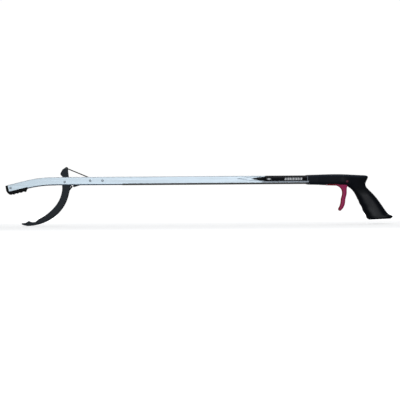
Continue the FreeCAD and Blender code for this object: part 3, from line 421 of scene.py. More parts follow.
def skin(rings, count):
    """Faces from each ring of so many points to the next, and one flat face on each end."""
    faces = []
    for ring in range(rings - 1):
        for index in range(count):
            following = (index + 1) % count
            faces.append((ring * count + index, (ring + 1) * count + index,
                          (ring + 1) * count + following, ring * count + following))
    faces.append(tuple(range(count)))
    faces.append(tuple(reversed(range((rings - 1) * count, rings * count))))
    return faces


def tidy_normals(obj, angle=None):
    """Point all faces outwards, and keep edges sharper than the angle, in degrees, hard."""
    work = bmesh.new()
    work.from_mesh(obj.data)
    bmesh.ops.recalc_face_normals(work, faces=work.faces)
    work.to_mesh(obj.data)
    work.free()
    obj.data.polygons.foreach_set("use_smooth", [True] * len(obj.data.polygons))
    if angle is not None:
        obj.data.set_sharp_from_angle(angle=math.radians(angle))


def outline_points(corners, step=0.9):
    """Even points round a closed outline with arcs, in millimetres."""
    points = []
    for index, corner in enumerate(corners):
        start = Vector(corners[index - 1][:2])
        end = Vector(corner[:2])
        chord = end - start
        if len(corner) == 4:
            radius, side = corner[2], corner[3]
            half = chord.length / 2
            depth = math.sqrt(max(radius * radius - half * half, 0.0))
            normal = Vector((-chord.y, chord.x)).normalized() * side
            centre = (start + end) / 2 - normal * depth
            first = math.atan2(start.y - centre.y, start.x - centre.x)
            turn = 2 * math.asin(min(half / radius, 1.0)) * -side
            count = max(int(abs(turn) * radius / step), 3)
            for number in range(1, count + 1):
                angle = first + turn * number / count
                points.append(centre + Vector((math.cos(angle), math.sin(angle))) * radius)
        else:
            count = max(int(chord.length / step), 1)
            points += [start + chord * (number / count) for number in range(1, count + 1)]
    return points


def soften(points, passes):
    """Round the corners of a closed outline a little."""
    for _ in range(passes):
        points = [(points[i - 1] + points[i] * 2 + points[(i + 1) % len(points)]) / 4
                  for i in range(len(points))]
    return points


def inward_normals(points):
    """The direction into a closed outline at each of its points."""
    area = sum(points[i - 1].cross(points[i]) for i in range(len(points)))
    turn = 1.0 if area > 0 else -1.0
    normals = []
    for index in range(len(points)):
        along = points[(index + 1) % len(points)] - points[index - 1]
        normals.append(Vector((-along.y, along.x)).normalized() * turn)
    return normals


def plate(name, points, half, bevel, rings=4, shift=(0.0, 0.0)):
    """A flat moulding in the XZ plane, to both sides of it, with rounded long edges.
    Bevel is one width or one width for each point."""
    widths = bevel if isinstance(bevel, list) else [bevel] * len(points)
    normals = inward_normals(points)
    stack = [(-1, step) for step in range(rings, -1, -1)]
    stack += [(1, step) for step in range(rings + 1)]
    verts = []
    for side, step in stack:
        turn = math.radians(90.0 * step / rings)
        for point, normal, width in zip(points, normals, widths):
            moved = point + normal * width * (1 - math.cos(turn))
            depth = side * (half - width * (1 - math.sin(turn)))
            verts.append(((moved.x + shift[0]) * MM, depth * MM, (moved.y + shift[1]) * MM))
    obj = new_object(name, verts, skin(len(stack), len(points)))
    work = bmesh.new()
    work.from_mesh(obj.data)
    large = [face for face in work.faces if len(face.verts) > 4]
    bmesh.ops.triangulate(work, faces=large)
    work.to_mesh(obj.data)
    work.free()
    tidy_normals(obj)
    return obj


def box(low, high):
    """A cutter between two corners, in millimetres."""
    work = bmesh.new()
    bmesh.ops.create_cube(work, size=1.0)
    for vert in work.verts:
        vert.co = Vector([(low[i] if vert.co[i] < 0 else high[i]) * MM for i in range(3)])
    mesh = bpy.data.meshes.new("cutter")
    work.to_mesh(mesh)
    work.free()
    obj = bpy.data.objects.new("cutter", mesh)
    bpy.context.scene.collection.objects.link(obj)
    return obj


ROD_SIDES = 48


def rod(x, z, radius, start=-FAR, end=FAR, chamfer=0.0):
    """A round bar along Y, in millimetres, with a chamfer on each end."""
    rings = [(radius, start), (radius, end)]
    if chamfer:
        rings = [(radius - chamfer, start), (radius, start + chamfer), (radius, end - chamfer),
                 (radius - chamfer, end)]
    verts = []
    for wide, y in rings:
        for index in range(ROD_SIDES):
            turn = 2 * math.pi * index / ROD_SIDES
            verts.append(((x + wide * math.cos(turn)) * MM, y * MM,
                          (z + wide * math.sin(turn)) * MM))
    obj = new_object("cutter", verts, skin(len(rings), ROD_SIDES))
    tidy_normals(obj)
    return obj


def prism(points, half=FAR):
    """A cutter from a side outline, to both sides of the middle plane, in millimetres."""
    return plate("cutter", [Vector(point) for point in points], half, 0.0, rings=1)


def from_point(centre, corners):
    """An outline that is given from a centre, as points of the side view."""
    return [(centre[0] + x, centre[1] + z) for x, z in corners]


def carve(obj, tools, operation="DIFFERENCE", folded=False):
    """Apply one boolean for each tool, and remove the tools. Folded is for a mesh whose eased
    edges may cross in its tightest corners, which only the exact solver takes."""
    for tool in tools:
        modifier = obj.modifiers.new("carve", "BOOLEAN")
        modifier.operation = operation
        modifier.solver = "EXACT" if folded else "MANIFOLD"
        modifier.use_self = folded
        modifier.object = tool
        settled = obj.evaluated_get(bpy.context.evaluated_depsgraph_get())
        mesh = bpy.data.meshes.new_from_object(settled)
        obj.modifiers.clear()
        old = obj.data
        obj.data = mesh
        bpy.data.meshes.remove(old)
        bpy.data.objects.remove(tool)


HEAL_REACH = 0.01 * MM


def heal(obj):
    """Merge the doubled points and drop the empty faces that booleans leave."""
    work = bmesh.new()
    work.from_mesh(obj.data)
    bmesh.ops.remove_doubles(work, verts=work.verts, dist=HEAL_REACH)
    bmesh.ops.dissolve_degenerate(work, edges=work.edges, dist=HEAL_REACH)
    work.to_mesh(obj.data)
    work.free()


def paint(obj, material):
    """Give the whole object one material."""
    obj.data.materials.clear()
    obj.data.materials.append(material)


def place_in_body(obj, material, slot, body, *nodes):
    """Give a piece its finish, its body and the CAD nodes that it stands for."""
    paint(obj, material)
    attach(obj, body)
    if nodes:
        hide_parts(*nodes)


def place_between(obj, material, node):
    """Give a piece that runs from one body to another its finish, hide the CAD node that it
    stands for, and bake its place into its points; it is attached to no body.
    """
    paint(obj, material)
    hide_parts(node)
    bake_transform(obj)


ACROSS = Vector((0.0, 1.0, 0.0))


def tube(name, path, section, guide=ACROSS, twist=0.0):
    """Sweep a section, as points (side, up), along a path in metres. Side keeps as near to the
    guide as it can, and twist turns the section by so many radians a metre."""
    verts = []
    travelled = 0.0
    for index, point in enumerate(path):
        before = path[max(index - 1, 0)]
        after = path[min(index + 1, len(path) - 1)]
        along = (after - before).normalized()
        up = along.cross(guide).normalized()
        side = up.cross(along).normalized()
        if index:
            travelled += (point - path[index - 1]).length
        turn = twist * travelled
        for across, high in section:
            u = across * math.cos(turn) - high * math.sin(turn)
            v = across * math.sin(turn) + high * math.cos(turn)
            verts.append(point + side * u + up * v)
    obj = new_object(name, verts, skin(len(path), len(section)))
    tidy_normals(obj)
    return obj


def side_vector(x, z):
    """A point of the middle plane in metres, from millimetres."""
    return Vector((x * MM, 0.0, z * MM))


def ramp(value, length):
    """0 below 0, 1 above the length, and even between."""
    return min(max(value / length, 0.0), 1.0)


# The shaft, its cover strip, pins, rollers and spring hooks keep their CAD meshes


PIN_ZINC = (srgb(146, 158, 168), srgb(176, 186, 194))
SCREW_ZINC = (srgb(60, 62, 66), srgb(96, 98, 102))
SPRING_STEEL = (srgb(34, 36, 34), srgb(60, 62, 58))
CORD_STEEL = (srgb(34, 34, 32), srgb(62, 61, 58))
ROLLER_ACETAL = (srgb(222, 220, 212), srgb(236, 234, 226))

aluminium = make_aluminium()
cover_strip = make_cover()
pin_steel = make_metal("pin_zinc", PIN_ZINC, 0.45, metallic=0.5)
screw_steel = make_metal("screw_dark_zinc", SCREW_ZINC, 0.38)
spring_steel = make_metal("spring_oiled", SPRING_STEEL, 0.42, metallic=0.45)
cord_steel = make_metal("cord_strand_steel", CORD_STEEL, 0.45, metallic=0.5)
roller_plastic = make_plastic("roller_acetal", ROLLER_ACETAL, 0.4, 900.0, 0.03)[0].material

KEPT = {
    aluminium: ["shaft"],
    cover_strip: ["channel_cover"],
    pin_steel: ["jaw_pad_rivet", "claw_pivot_pin", "spring_anchor_pin", "front_roller_pin",
                "guide_roller_pin", "shaft_lock_pin", "cord_terminal"],
    screw_steel: ["handle_screws"],
    roller_plastic: ["front_roller", "guide_roller"],
    spring_steel: ["return_spring_hook", "return_spring_leg", "cord_nipple"],
}
for material, names in KEPT.items():
    for name in names:
        paint(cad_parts[name], material)


# Claw


EDGE_EASE = 16  # outline points over which a bevel grows to its full width


def edge_widths(points, plain, wide, start, end):
    """Bevel widths that grow to wide along the part of an outline between two of its corners."""
    def nearest(corner):
        return min(range(len(points)), key=lambda i: (points[i] - Vector(corner)).length)

    first, last = nearest(start), nearest(end)
    widths = []
    for index in range(len(points)):
        share = max(min(1.0, (index - first) / EDGE_EASE, (last - index) / EDGE_EASE), 0.0)
        widths.append(plain + (wide - plain) * share)
    return widths


CLAW_HALF = 6.8
CLAW_EDGE = 0.7
CLAW_BACK_EDGE = 2.4
CLAW_BACK = ((9.0, -23.0), (-84.0, -94.6))  # where the finger's wide bevel starts and ends
# Thinner parts, from the pivot: low and high x, low and high z, half width.
CLAW_THIN = [
    (-30.0, 30.0, -13.5, 6.2, 5.7), (-30.0, 30.0, 6.2, 40.0, 4.0),
    (9.6, 30.0, -20.0, -3.0, 1.2),
]
CLAW_FORK = [(-2.2, -2.4), (8.0, -7.6), (8.0, 8.0), (-2.2, 8.0)]  # from the eye
FORK_HALF = 1.5
CLAW_BORE = 2.06
EYE_BORE = 1.66
HEEL_BORE = 1.0  # closer on the hook's wire than in the CAD


def build_claw():
    """One moulding: finger with a chamfered back, thin hub and horn, thin spring heel."""
    points = soften(outline_points(CLAW, 0.7), 2)
    widths = edge_widths(points, CLAW_EDGE, CLAW_BACK_EDGE, *CLAW_BACK)
    obj = plate("claw_moulding", points, CLAW_HALF, widths, shift=PIVOT)
    x, z = PIVOT
    thin = []
    for low_x, high_x, low_z, high_z, keep in CLAW_THIN:
        for near, far in ((-FAR, -keep), (keep, FAR)):
            thin.append(box((x + low_x, near, z + low_z), (x + high_x, far, z + high_z)))
    eye = (x + EYE[0], z + EYE[1])
    fork = prism(from_point(eye, CLAW_FORK), FORK_HALF)
    bores = [rod(x, z, CLAW_BORE), rod(*eye, EYE_BORE), rod(x + HEEL[0], z + HEEL[1], HEEL_BORE)]
    carve(obj, thin + [fork] + bores)
    tidy_normals(obj, 38)
    place_in_body(obj, make_claw(), "claw_plastic", "claw", "claw")


# Jaw insert


def nose_place(along, down):
    """A point of the nose, in millimetres: past the bend's end, and below its upper face."""
    return (
        BEND_START - BEND_RADIUS * math.sin(NOSE_TURN) - along * math.cos(NOSE_TURN)
        + down * math.sin(NOSE_TURN),
        SHAFT_TOP - BEND_RADIUS * (1 - math.cos(NOSE_TURN)) - along * math.sin(NOSE_TURN)
        - down * math.cos(NOSE_TURN),
    )


PAD_HALF = 7.5
PLUG_HALF = 6.1
PAD_EDGE = 0.5
PLUG_EDGE = 0.3
RIVET_PLACE = (5.0, 7.0)  # back from the nose's end, and up from its lower edge
RIVET_BORE = 1.75


def build_pad():
    """Rubber insert: teeth and front lip at full width, and a plug inside the nose."""
    teeth = soften(outline_points(PAD, 0.6), 1)
    obj = plate("jaw_insert", teeth, PAD_HALF, PAD_EDGE, rings=3)
    plug = plate("cutter", outline_points(PLUG, 2.0), PLUG_HALF, PLUG_EDGE)
    carve(obj, [plug], "UNION", folded=True)
    x, z = nose_place(NOSE_LENGTH, NOSE_DEPTH)
    turn = Matrix.Rotation(-NOSE_TURN, 4, "Y")
    obj.data.transform(Matrix.Translation(side_vector(x, z)) @ turn)
    rivet = nose_place(NOSE_LENGTH - RIVET_PLACE[0], NOSE_DEPTH - RIVET_PLACE[1])
    carve(obj, [rod(*rivet, RIVET_BORE)])
    tidy_normals(obj, 40)
    place_in_body(obj, make_rubber(), "jaw_rubber", "root", "jaw_pad")


# Trigger


TRIGGER_HALF = 4.5
TRIGGER_EDGE = 0.9
BLADE_EDGE = 2.7
BLADE_TOP = -10.0  # from the trunnions; the bevel widens below it
BLADE_EASE = 10.0
TRUNNION_RADIUS = 2.9
TRUNNION_HALF = 12.5
ARM_FORK = [(-12.0, -6.0), (2.0, -1.4), (2.0, 12.0), (-12.0, 12.0)]  # from the arm's eye


def build_trigger():
    """Bell crank: rounded finger blade, long arm with a forked eye, trunnions."""
    points = soften(outline_points(TRIGGER, 0.8), 3)
    widths = [TRIGGER_EDGE + (BLADE_EDGE - TRIGGER_EDGE) * ramp(BLADE_TOP - point.y, BLADE_EASE)
              for point in points]
    obj = plate("trigger_lever", points, TRIGGER_HALF, widths, rings=5, shift=TRUNNION)
    trunnions = rod(*TRUNNION, TRUNNION_RADIUS, -TRUNNION_HALF, TRUNNION_HALF, chamfer=0.5)
    carve(obj, [trunnions], "UNION")
    eye = (TRUNNION[0] + ARM_EYE[0], TRUNNION[1] + ARM_EYE[1])
    carve(obj, [rod(*eye, EYE_BORE), prism(from_point(eye, ARM_FORK), FORK_HALF)])
    tidy_normals(obj, 42)
    place_in_body(obj, make_trigger(), "trigger_plastic", "trigger", "trigger")


# Handle halves


FINE = 5  # slices to each row of the table


def smooth_rows(rows, share):
    """A row between table rows, on a Catmull-Rom curve through them that stays within each
    column's own range. Share counts rows."""
    index = min(int(share), len(rows) - 2)
    t = share - index
    before = rows[max(index - 1, 0)]
    first = rows[index]
    second = rows[index + 1]
    after = rows[min(index + 2, len(rows) - 1)]
    out = []
    for a, b, c, d, column in zip(before, first, second, after, zip(*rows)):
        value = 0.5 * (2 * b + (c - a) * t + (2 * a - 5 * b + 4 * c - d) * t * t
                       + (3 * b - 3 * c + d - a) * t ** 3)
        out.append(min(max(value, min(column)), max(column)))
    return out


FULLNESS = 3.1  # exponent of the handle's oval section


def handle_section(row, inset, sweep):
    """Points round one oval slice, from the outer edge round +Y to the inner edge or right
    round, in millimetres."""
    inner = Vector((row[0], 0.0, row[1]))
    outer = Vector((row[2], 0.0, row[3]))
    across = (outer - inner).normalized()
    half = (outer - inner).length / 2 - inset
    wide = row[4] - inset
    middle = (inner + outer) / 2
    points = []
    for turn in sweep:
        c, s = math.cos(turn), math.sin(turn)
        u = half * math.copysign(abs(c) ** (2 / FULLNESS), c)
        v = wide * math.copysign(abs(s) ** (2 / FULLNESS), s)
        points.append(middle + across * u + Vector((0.0, v, 0.0)))
    return points


GROOVE_X = -107.6
GROOVE_HALF = 0.9
GROOVE_DEPTH = 0.45


def groove(x):
    """How deep the ring groove behind the collar is at x."""
    return GROOVE_DEPTH * max(0.0, 1 - abs(x - GROOVE_X) / GROOVE_HALF)


WAVE_DEPTH = 0.6
WAVE_PITCH = 15.4
WAVE_TOP = 6.0
WAVE_TOP_EASE = 8.0
WAVE_BOTTOM = -38.0
WAVE_BOTTOM_EASE = 6.0


def finger_wave(z):
    """How far the grip's front edge is set back at z, for three shallow finger grooves."""
    fade = ramp(WAVE_TOP - z, WAVE_TOP_EASE) * ramp(z - WAVE_BOTTOM, WAVE_BOTTOM_EASE)
    return WAVE_DEPTH * fade * math.cos(2 * math.pi * z / WAVE_PITCH)


GROOVE_ROW = 2  # the table row in front of the groove


def handle_rows(first, last):
    """Fine slice rows, with extra ones for the ring groove."""
    shares = [first + number / FINE for number in range((last - first) * FINE + 1)]
    before = HANDLE[GROOVE_ROW][0]
    span = HANDLE[GROOVE_ROW + 1][0] - before
    for away in (-1.0, -0.5, 0.0, 0.5, 1.0):
        shares.append(GROOVE_ROW + (GROOVE_X + away - before) / span)
    rows = [smooth_rows(HANDLE, share) for share in sorted(shares) if first <= share <= last]
    for row in rows:
        row[0] += finger_wave(row[1])
    return rows


def loft(name, sections):
    """A closed solid through sections of as many points each, in millimetres."""
    verts = [point * MM for section in sections for point in section]
    obj = new_object(name, verts, skin(len(sections), len(sections[0])))
    tidy_normals(obj)
    return obj


HALF_STEPS = 40
SEAM_GAP = 0.06
SEAM_EASE = 0.965  # how far out the seam's own edge reaches, of the slice's full reach


def half_outer(name, sign):
    """One half of the handle as a solid, with its seam edges eased."""
    sweep = [math.pi * number / HALF_STEPS for number in range(1, HALF_STEPS)]
    sections = []
    for row in handle_rows(0, len(HANDLE) - 1):
        points = handle_section(row, groove(row[0]), sweep)
        middle = Vector(((row[0] + row[2]) / 2, 0.0, (row[1] + row[3]) / 2))
        seam = []
        for point in (points[0], points[-1]):
            edge = Vector((point.x, SEAM_GAP, point.z))
            edge = middle + (edge - middle) * SEAM_EASE
            edge.y = SEAM_GAP
            seam.append(edge)
        section = [seam[0]] + points + [seam[1]]
        sections.append([Vector((p.x, sign * p.y, p.z)) for p in section])
    return loft(name, sections)


WALL = 2.0
CAVITY_STEPS = 48
SHAFT_PLAY = 0.2
SHAFT_SEAT = (-170.0, -103.8)
COVER_PLAY = 0.7
COVER_SEAT = (-171.0, -103.6)
COVER_RISE = 3.6  # the cover strip's own height above the shaft's lower edge
LABEL_NOTCH = ((-135.7, 38.9), (-128.8, 51.9))
TRIGGER_SLOT = [(-93.6, 26.0), (-93.6, 38.0), (-38.6, 38.0), (-38.6, 24.0), (-44.0, 24.0)]
TRIGGER_SLOT_HALF = 5.2
SKIRT = [
    (-92.8, 28.0), (-92.8, 35.3), (-66.0, 35.3), (-60.0, 33.9), (-45.2, 33.6), (-45.2, 28.0),
]
TRUNNION_BORE = 2.96
WELL_RADIUS = 2.9
WELL_FLOOR = 9.0


def handle_tools():
    """The openings of both halves: cavity, seats of the shaft and the cover strip, notch over
    the label, trigger slot, the housing's cut-away lower edge, and trunnion bore."""
    sweep = [2 * math.pi * number / CAVITY_STEPS for number in range(CAVITY_STEPS)]
    rows = handle_rows(2, len(HANDLE) - 2)
    cavity = loft("cutter", [handle_section(row, WALL, sweep) for row in rows])
    side, low = SHAFT_HALF + SHAFT_PLAY, SHAFT_BOTTOM - SHAFT_PLAY
    shaft = box((SHAFT_SEAT[0], -side, low), (SHAFT_SEAT[1], side, SHAFT_TOP + SHAFT_PLAY))
    side, low = SHAFT_HALF + COVER_PLAY, SHAFT_BOTTOM - COVER_PLAY
    cover = box((COVER_SEAT[0], -side, low), (COVER_SEAT[1], side, SHAFT_BOTTOM + COVER_RISE))
    (start, bottom), (end, top) = LABEL_NOTCH
    notch = box((start, -FAR, bottom), (end, FAR, top))
    slot = prism(TRIGGER_SLOT, TRIGGER_SLOT_HALF)
    return [cavity, shaft, cover, notch, slot, prism(SKIRT), rod(*TRUNNION, TRUNNION_BORE)]


def build_handle():
    """Two moulded halves. The screw wells are in the far one."""
    plastic = make_handle()
    for sign, name, node in ((-1, "handle_half_left", "handle_shell_left"),
                             (1, "handle_half_right", "handle_shell_right")):
        obj = half_outer(name, sign)
        carve(obj, handle_tools())
        if sign > 0:
            carve(obj, [rod(x, z, WELL_RADIUS, WELL_FLOOR) for x, z in SCREWS])
        heal(obj)
        tidy_normals(obj, 34)
        place_in_body(obj, plastic, "handle_plastic", "root", node)


# Pull cord and spring


LOBES = 6
LOBE_DEPTH = 0.07  # of the cord's radius


def strand_section(radius):
    """Six strands round a core, as one lobed section."""
    points = []
    for index in range(LOBES * 4):
        turn = 2 * math.pi * index / (LOBES * 4)
        reach = radius * (1 - LOBE_DEPTH + LOBE_DEPTH * math.cos(LOBES * turn))
        points.append((reach * math.cos(turn) * MM, reach * math.sin(turn) * MM))
    return points


def run_points(stops, step):
    """Points along straight runs between stops in metres, about a step in millimetres apart."""
    points = [stops[0]]
    for start, end in zip(stops, stops[1:]):
        count = max(int((end - start).length / (step * MM)), 1)
        points += [start + (end - start) * (number / count) for number in range(1, count + 1)]
    return points


def arc_points(centre, reach, start, end, step):
    """Points between start and end round a centre, in metres. Known fault: side_vector scales
    the reach a second time, so they lie at the centre and not on the arc. Rollers hide it."""
    first = math.atan2(start.z - centre.z, start.x - centre.x)
    last = math.atan2(end.z - centre.z, end.x - centre.x)
    turn = (last - first + math.pi) % (2 * math.pi) - math.pi
    count = max(int(abs(turn) * reach / step), 2)
    points = []
    for number in range(1, count):
        angle = first + turn * number / count
        points.append(centre + side_vector(reach * math.cos(angle), reach * math.sin(angle)))
    return points


def cord_route():
    """Where the cord touches its rollers, found as the CAD finds it."""
    eye = side_vector(PIVOT[0] + EYE[0], PIVOT[1] + EYE[1])
    front = side_vector(*FRONT_ROLLER)
    guide = side_vector(*GUIDE_ROLLER)
    arm = side_vector(TRUNNION[0] + ARM_EYE[0], TRUNNION[1] + ARM_EYE[1])
    front_reach, guide_reach = FRONT_REACH * MM, GUIDE_REACH * MM
    to_front = front - eye
    drop = math.atan2(-to_front.z, to_front.x) + math.asin(front_reach / to_front.length)
    enter = front + Vector((-math.sin(drop), 0, -math.cos(drop))) * front_reach
    span = guide - front
    rise = math.atan2(span.z, span.x) + math.asin((front_reach + guide_reach) / span.length)
    normal = Vector((-math.sin(rise), 0, math.cos(rise)))
    leave = front - normal * front_reach
    over = guide + normal * guide_reach
    to_guide = guide - arm
    swing = math.atan2(to_guide.z, to_guide.x) - math.asin(guide_reach / to_guide.length)
    reach = math.sqrt(to_guide.length ** 2 - guide_reach ** 2)
    off = arm + Vector((math.cos(swing), 0, math.sin(swing))) * reach
    down = Vector((math.cos(drop), 0, -math.sin(drop)))
    joint = eye + down * ((CORD_JOINT_X * MM - eye.x) / down.x)
    return eye, down, joint, enter, leave, over, off, arm, front, guide


TWIST = 2 * math.pi / 0.016  # one turn of the strands in so many metres
SLIM = 0.93  # the bend and the tail lie inside the ends of the straight runs
BEND_LEAD = 1.2  # how far the bend starts inside the front run
BEND_TRAIL = 20.0  # and how far it goes on inside the long run
NIPPLE_SINK = 0.95  # where in the barrel end the cord starts, of its radius
FRONT_STEP = 0.0006  # metres between points round each roller
GUIDE_STEP = 0.0005


def build_cord():
    """One steel cord in four stretches: the first three each on the body that it moves with, and
    the last, to the trigger, on no body.
    """
    eye, down, joint, enter, leave, over, off, arm, front, guide = cord_route()
    section = strand_section(CORD_RADIUS)
    slim = strand_section(CORD_RADIUS * SLIM)
    start = eye + down * NIPPLE_RADIUS * MM * NIPPLE_SINK
    obj = tube("cord_front_run", run_points([start, joint], 1.0), section, twist=TWIST)
    place_in_body(obj, cord_steel, "cord_steel", "cord_front", "pull_cord_front")
    along = (over - leave).normalized()
    path = run_points([joint - down * BEND_LEAD * MM, enter], 1.0)
    path += arc_points(front, FRONT_REACH * MM, enter, leave, FRONT_STEP)
    path += run_points([leave, leave + along * BEND_TRAIL * MM], 1.0)
    obj = tube("cord_round_front_roller", path, slim, twist=TWIST)
    place_in_body(obj, cord_steel, "cord_steel", "root", "pull_cord_bend")
    obj = tube("cord_long_run", run_points([leave, over], 1.0), section, twist=TWIST)
    place_in_body(obj, cord_steel, "cord_steel", "pull_cord", "pull_cord_run")
    path = [over] + arc_points(guide, GUIDE_REACH * MM, over, off, GUIDE_STEP)
    path += run_points([off, arm], 0.5)
    obj = tube("cord_to_trigger", path, slim, twist=TWIST)
    place_between(obj, cord_steel, "pull_cord_tail")


SPRING_WIRE = 0.55  # radius of the wire
SPRING_RADIUS = 3.2  # outside radius of the coil
SPRING_PITCH = 2.25  # from turn to turn, in wire radii
COIL_FRONT = 5.1  # from the hole in the claw's heel
COIL_REAR = 3.7  # from the anchor pin
TURN_STEPS = 14
WIRE_SIDES = 8


def build_spring():
    """Close-wound coil from the leg to the hook."""
    heel = side_vector(PIVOT[0] + HEEL[0], PIVOT[1] + HEEL[1])
    anchor = side_vector(*ANCHOR)
    axis = (anchor - heel).normalized()
    front_end = heel + axis * COIL_FRONT * MM
    rear_end = anchor - axis * COIL_REAR * MM
    up = axis.cross(ACROSS).normalized()
    wire = SPRING_WIRE * MM
    reach = SPRING_RADIUS * MM - wire
    span = (rear_end - front_end).length - 2 * wire
    turns = round(span / (SPRING_PITCH * wire))
    path = []
    for number in range(turns * TURN_STEPS + 1):
        turn = 2 * math.pi * number / TURN_STEPS
        place = rear_end - axis * (wire + span * number / (turns * TURN_STEPS))
        path.append(place + (ACROSS * math.cos(turn) + up * math.sin(turn)) * reach)
    turns_round = [2 * math.pi * number / WIRE_SIDES for number in range(WIRE_SIDES)]
    ring = [(wire * math.sin(turn), wire * math.cos(turn)) for turn in turns_round]
    obj = tube("spring_coil", path, ring, guide=axis)
    place_between(obj, spring_steel,
                  "return_spring_coil")


# Label: a film folded over the shaft, with generic printed marks


LABEL_REAR = -128.9
LABEL_FRONT = -223.0  # where the square part ends and the point starts
LABEL_BOTTOM = 42.2
FILM_LIFT = 0.07  # the film's middle above the shaft's surface
FILM_THICKNESS = 0.06
FILM_BEND = 2.0  # radius at which the film folds over the shaft's upper edges
FOLD_STEPS = 6


def film_section(low):
    """The film's line over the shaft, from its lower edge on one side to the other side."""
    out = SHAFT_HALF + FILM_LIFT
    top = SHAFT_TOP + FILM_LIFT
    points = [(-out, low), (-out, top - FILM_BEND)]
    for number in range(1, FOLD_STEPS):
        turn = math.radians(90 * number / FOLD_STEPS)
        points.append((-out + FILM_BEND * (1 - math.cos(turn)),
                       top - FILM_BEND * (1 - math.sin(turn))))
    points += [(-out + FILM_BEND, top)]
    return points + [(-y, z) for y, z in reversed(points)]


def thicken(obj, thickness):
    """Give a sheet so many millimetres of thickness, half to each side of it."""
    thick = obj.modifiers.new("thickness", "SOLIDIFY")
    thick.thickness = thickness * MM
    thick.offset = 0.0


LABEL_COLUMNS = 60
# The point at the front, round from its tip, between the film's lower edge and its fold.
LABEL_POINT = [
    (-253.6, 47.86), (-244.0, 45.4), (-233.0, 43.4), (LABEL_FRONT, LABEL_BOTTOM),
    (LABEL_FRONT, SHAFT_TOP + FILM_LIFT - FILM_BEND), (-233.0, 51.2), (-244.0, 49.9),
]


def build_label():
    """Film in one sheet: square at the rear, with a point on each side at the front."""
    verts, faces = [], []
    section = film_section(LABEL_BOTTOM)
    for column in range(LABEL_COLUMNS + 1):
        x = LABEL_FRONT + (LABEL_REAR - LABEL_FRONT) * column / LABEL_COLUMNS
        verts += [(x * MM, y * MM, z * MM) for y, z in section]
    count = len(section)
    for column in range(LABEL_COLUMNS):
        for row in range(count - 1):
            first = column * count + row
            faces.append((first, first + 1, first + count + 1, first + count))
    for side in (-1, 1):
        y = side * (SHAFT_HALF + FILM_LIFT)
        first = len(verts)
        verts += [(x * MM, y * MM, z * MM) for x, z in LABEL_POINT]
        faces.append(tuple(range(first, len(verts))))
    obj = new_object("label_film", verts, faces)
    thicken(obj, FILM_THICKNESS)
    place_in_body(obj, make_film(), "label_film", "root", "shaft_label")


def strip(points, width):
    """Quads of one printed line through points, in the side view."""
    quads = []
    for start, end in zip(points, points[1:]):
        a, b = Vector(start), Vector(end)
        along = (b - a).normalized()
        side = Vector((-along.y, along.x)) * width / 2
        quads.append([a - side, b - side, b + side, a + side])
    return quads


INK_THICKNESS = 0.03
ON_SHAFT = 0.03  # heights of the ink above the shaft's sides
ON_FILM = 0.13


def printed(name, polygons, level, material):
    """Flat printed marks on both sides of the shaft, as thin raised ink."""
    verts, faces = [], []
    for side in (-1, 1):
        for polygon in polygons:
            first = len(verts)
            verts += [(p[0] * MM, side * (SHAFT_HALF + level) * MM, p[1] * MM) for p in polygon]
            faces.append(tuple(range(first, len(verts))))
    obj = new_object(name, verts, faces, smooth=False)
    thicken(obj, INK_THICKNESS)
    place_in_body(obj, material, "label_film", "root")


BAR_START = -181.0
BAR_WIDTHS = [3.0, 1.6, 3.0, 3.0, 1.6, 3.0, 1.6, 3.0, 3.0, 1.6, 3.0]
BAR_GAP = 1.0
BAR_LOW = 44.4
BAR_HIGH = 49.4
BAR_LEAN = 1.3
LOZENGE = [(-220.0, 46.9), (-214.8, 45.0), (-209.6, 46.9), (-214.8, 48.8)]
ARROW_UPPER = [(-232.0, 52.2), (-255.0, 51.2), (-283.4, 47.8)]
ARROW_LOWER = [(-283.4, 47.8), (-255.8, 44.5), (-229.8, 42.4)]
ARROW_WIDTH = 0.8
EDGE_LINE = [(-229.8, 41.0), (-129.0, 41.0)]
EDGE_WIDTH = 2.2
END_LINE = [(-131.4, 42.6), (-131.4, 51.6)]
END_WIDTH = 0.7


def build_marks():
    """Slanted bars and a lozenge on the film, an arrow outline on the bare shaft, and a pale
    line along the film's lower edge and its rear."""
    bars = []
    x = BAR_START
    for width in BAR_WIDTHS:
        bars.append([(x, BAR_LOW), (x + width, BAR_LOW), (x + width + BAR_LEAN, BAR_HIGH),
                     (x + BAR_LEAN, BAR_HIGH)])
        x += width + BAR_GAP
    printed("label_marks", bars + [LOZENGE], ON_FILM, make_ink("ink_white", INK_WHITE))
    lines = strip(ARROW_UPPER, ARROW_WIDTH) + strip(ARROW_LOWER, ARROW_WIDTH)
    foil = make_ink("ink_slate_line", INK_SLATE, metallic=0.3)
    printed("label_arrow_outline", lines, ON_SHAFT, foil)
    edge = strip(EDGE_LINE, EDGE_WIDTH) + strip(END_LINE, END_WIDTH)
    silver = make_ink("ink_silver_edge", INK_SILVER, metallic=0.2)
    printed("label_silver_edge", edge, ON_FILM, silver)


# Stage


def camera_choice(nodes, links, unseen, seen, out):
    """Join two shaders to an output: one for the camera, the other for the light's own paths."""
    choose = nodes.new("ShaderNodeMixShader")
    path = nodes.new("ShaderNodeLightPath")
    links.new(path.outputs["Is Camera Ray"], choose.inputs["Fac"])
    links.new(unseen, choose.inputs[1])
    links.new(seen, choose.inputs[2])
    links.new(choose.outputs["Shader"], out.inputs["Surface"])


FLOOR_GAP = 0.0005
FLOOR_HALF = 14.0
FLOOR_WHITE = (srgb(248, 248, 248), srgb(252, 252, 252))
NEAR_GLOW = (0.5, 0.3)  # distance from the object's middle plane, and the floor's glow there
FAR_GLOW = (2.0, 0.95)


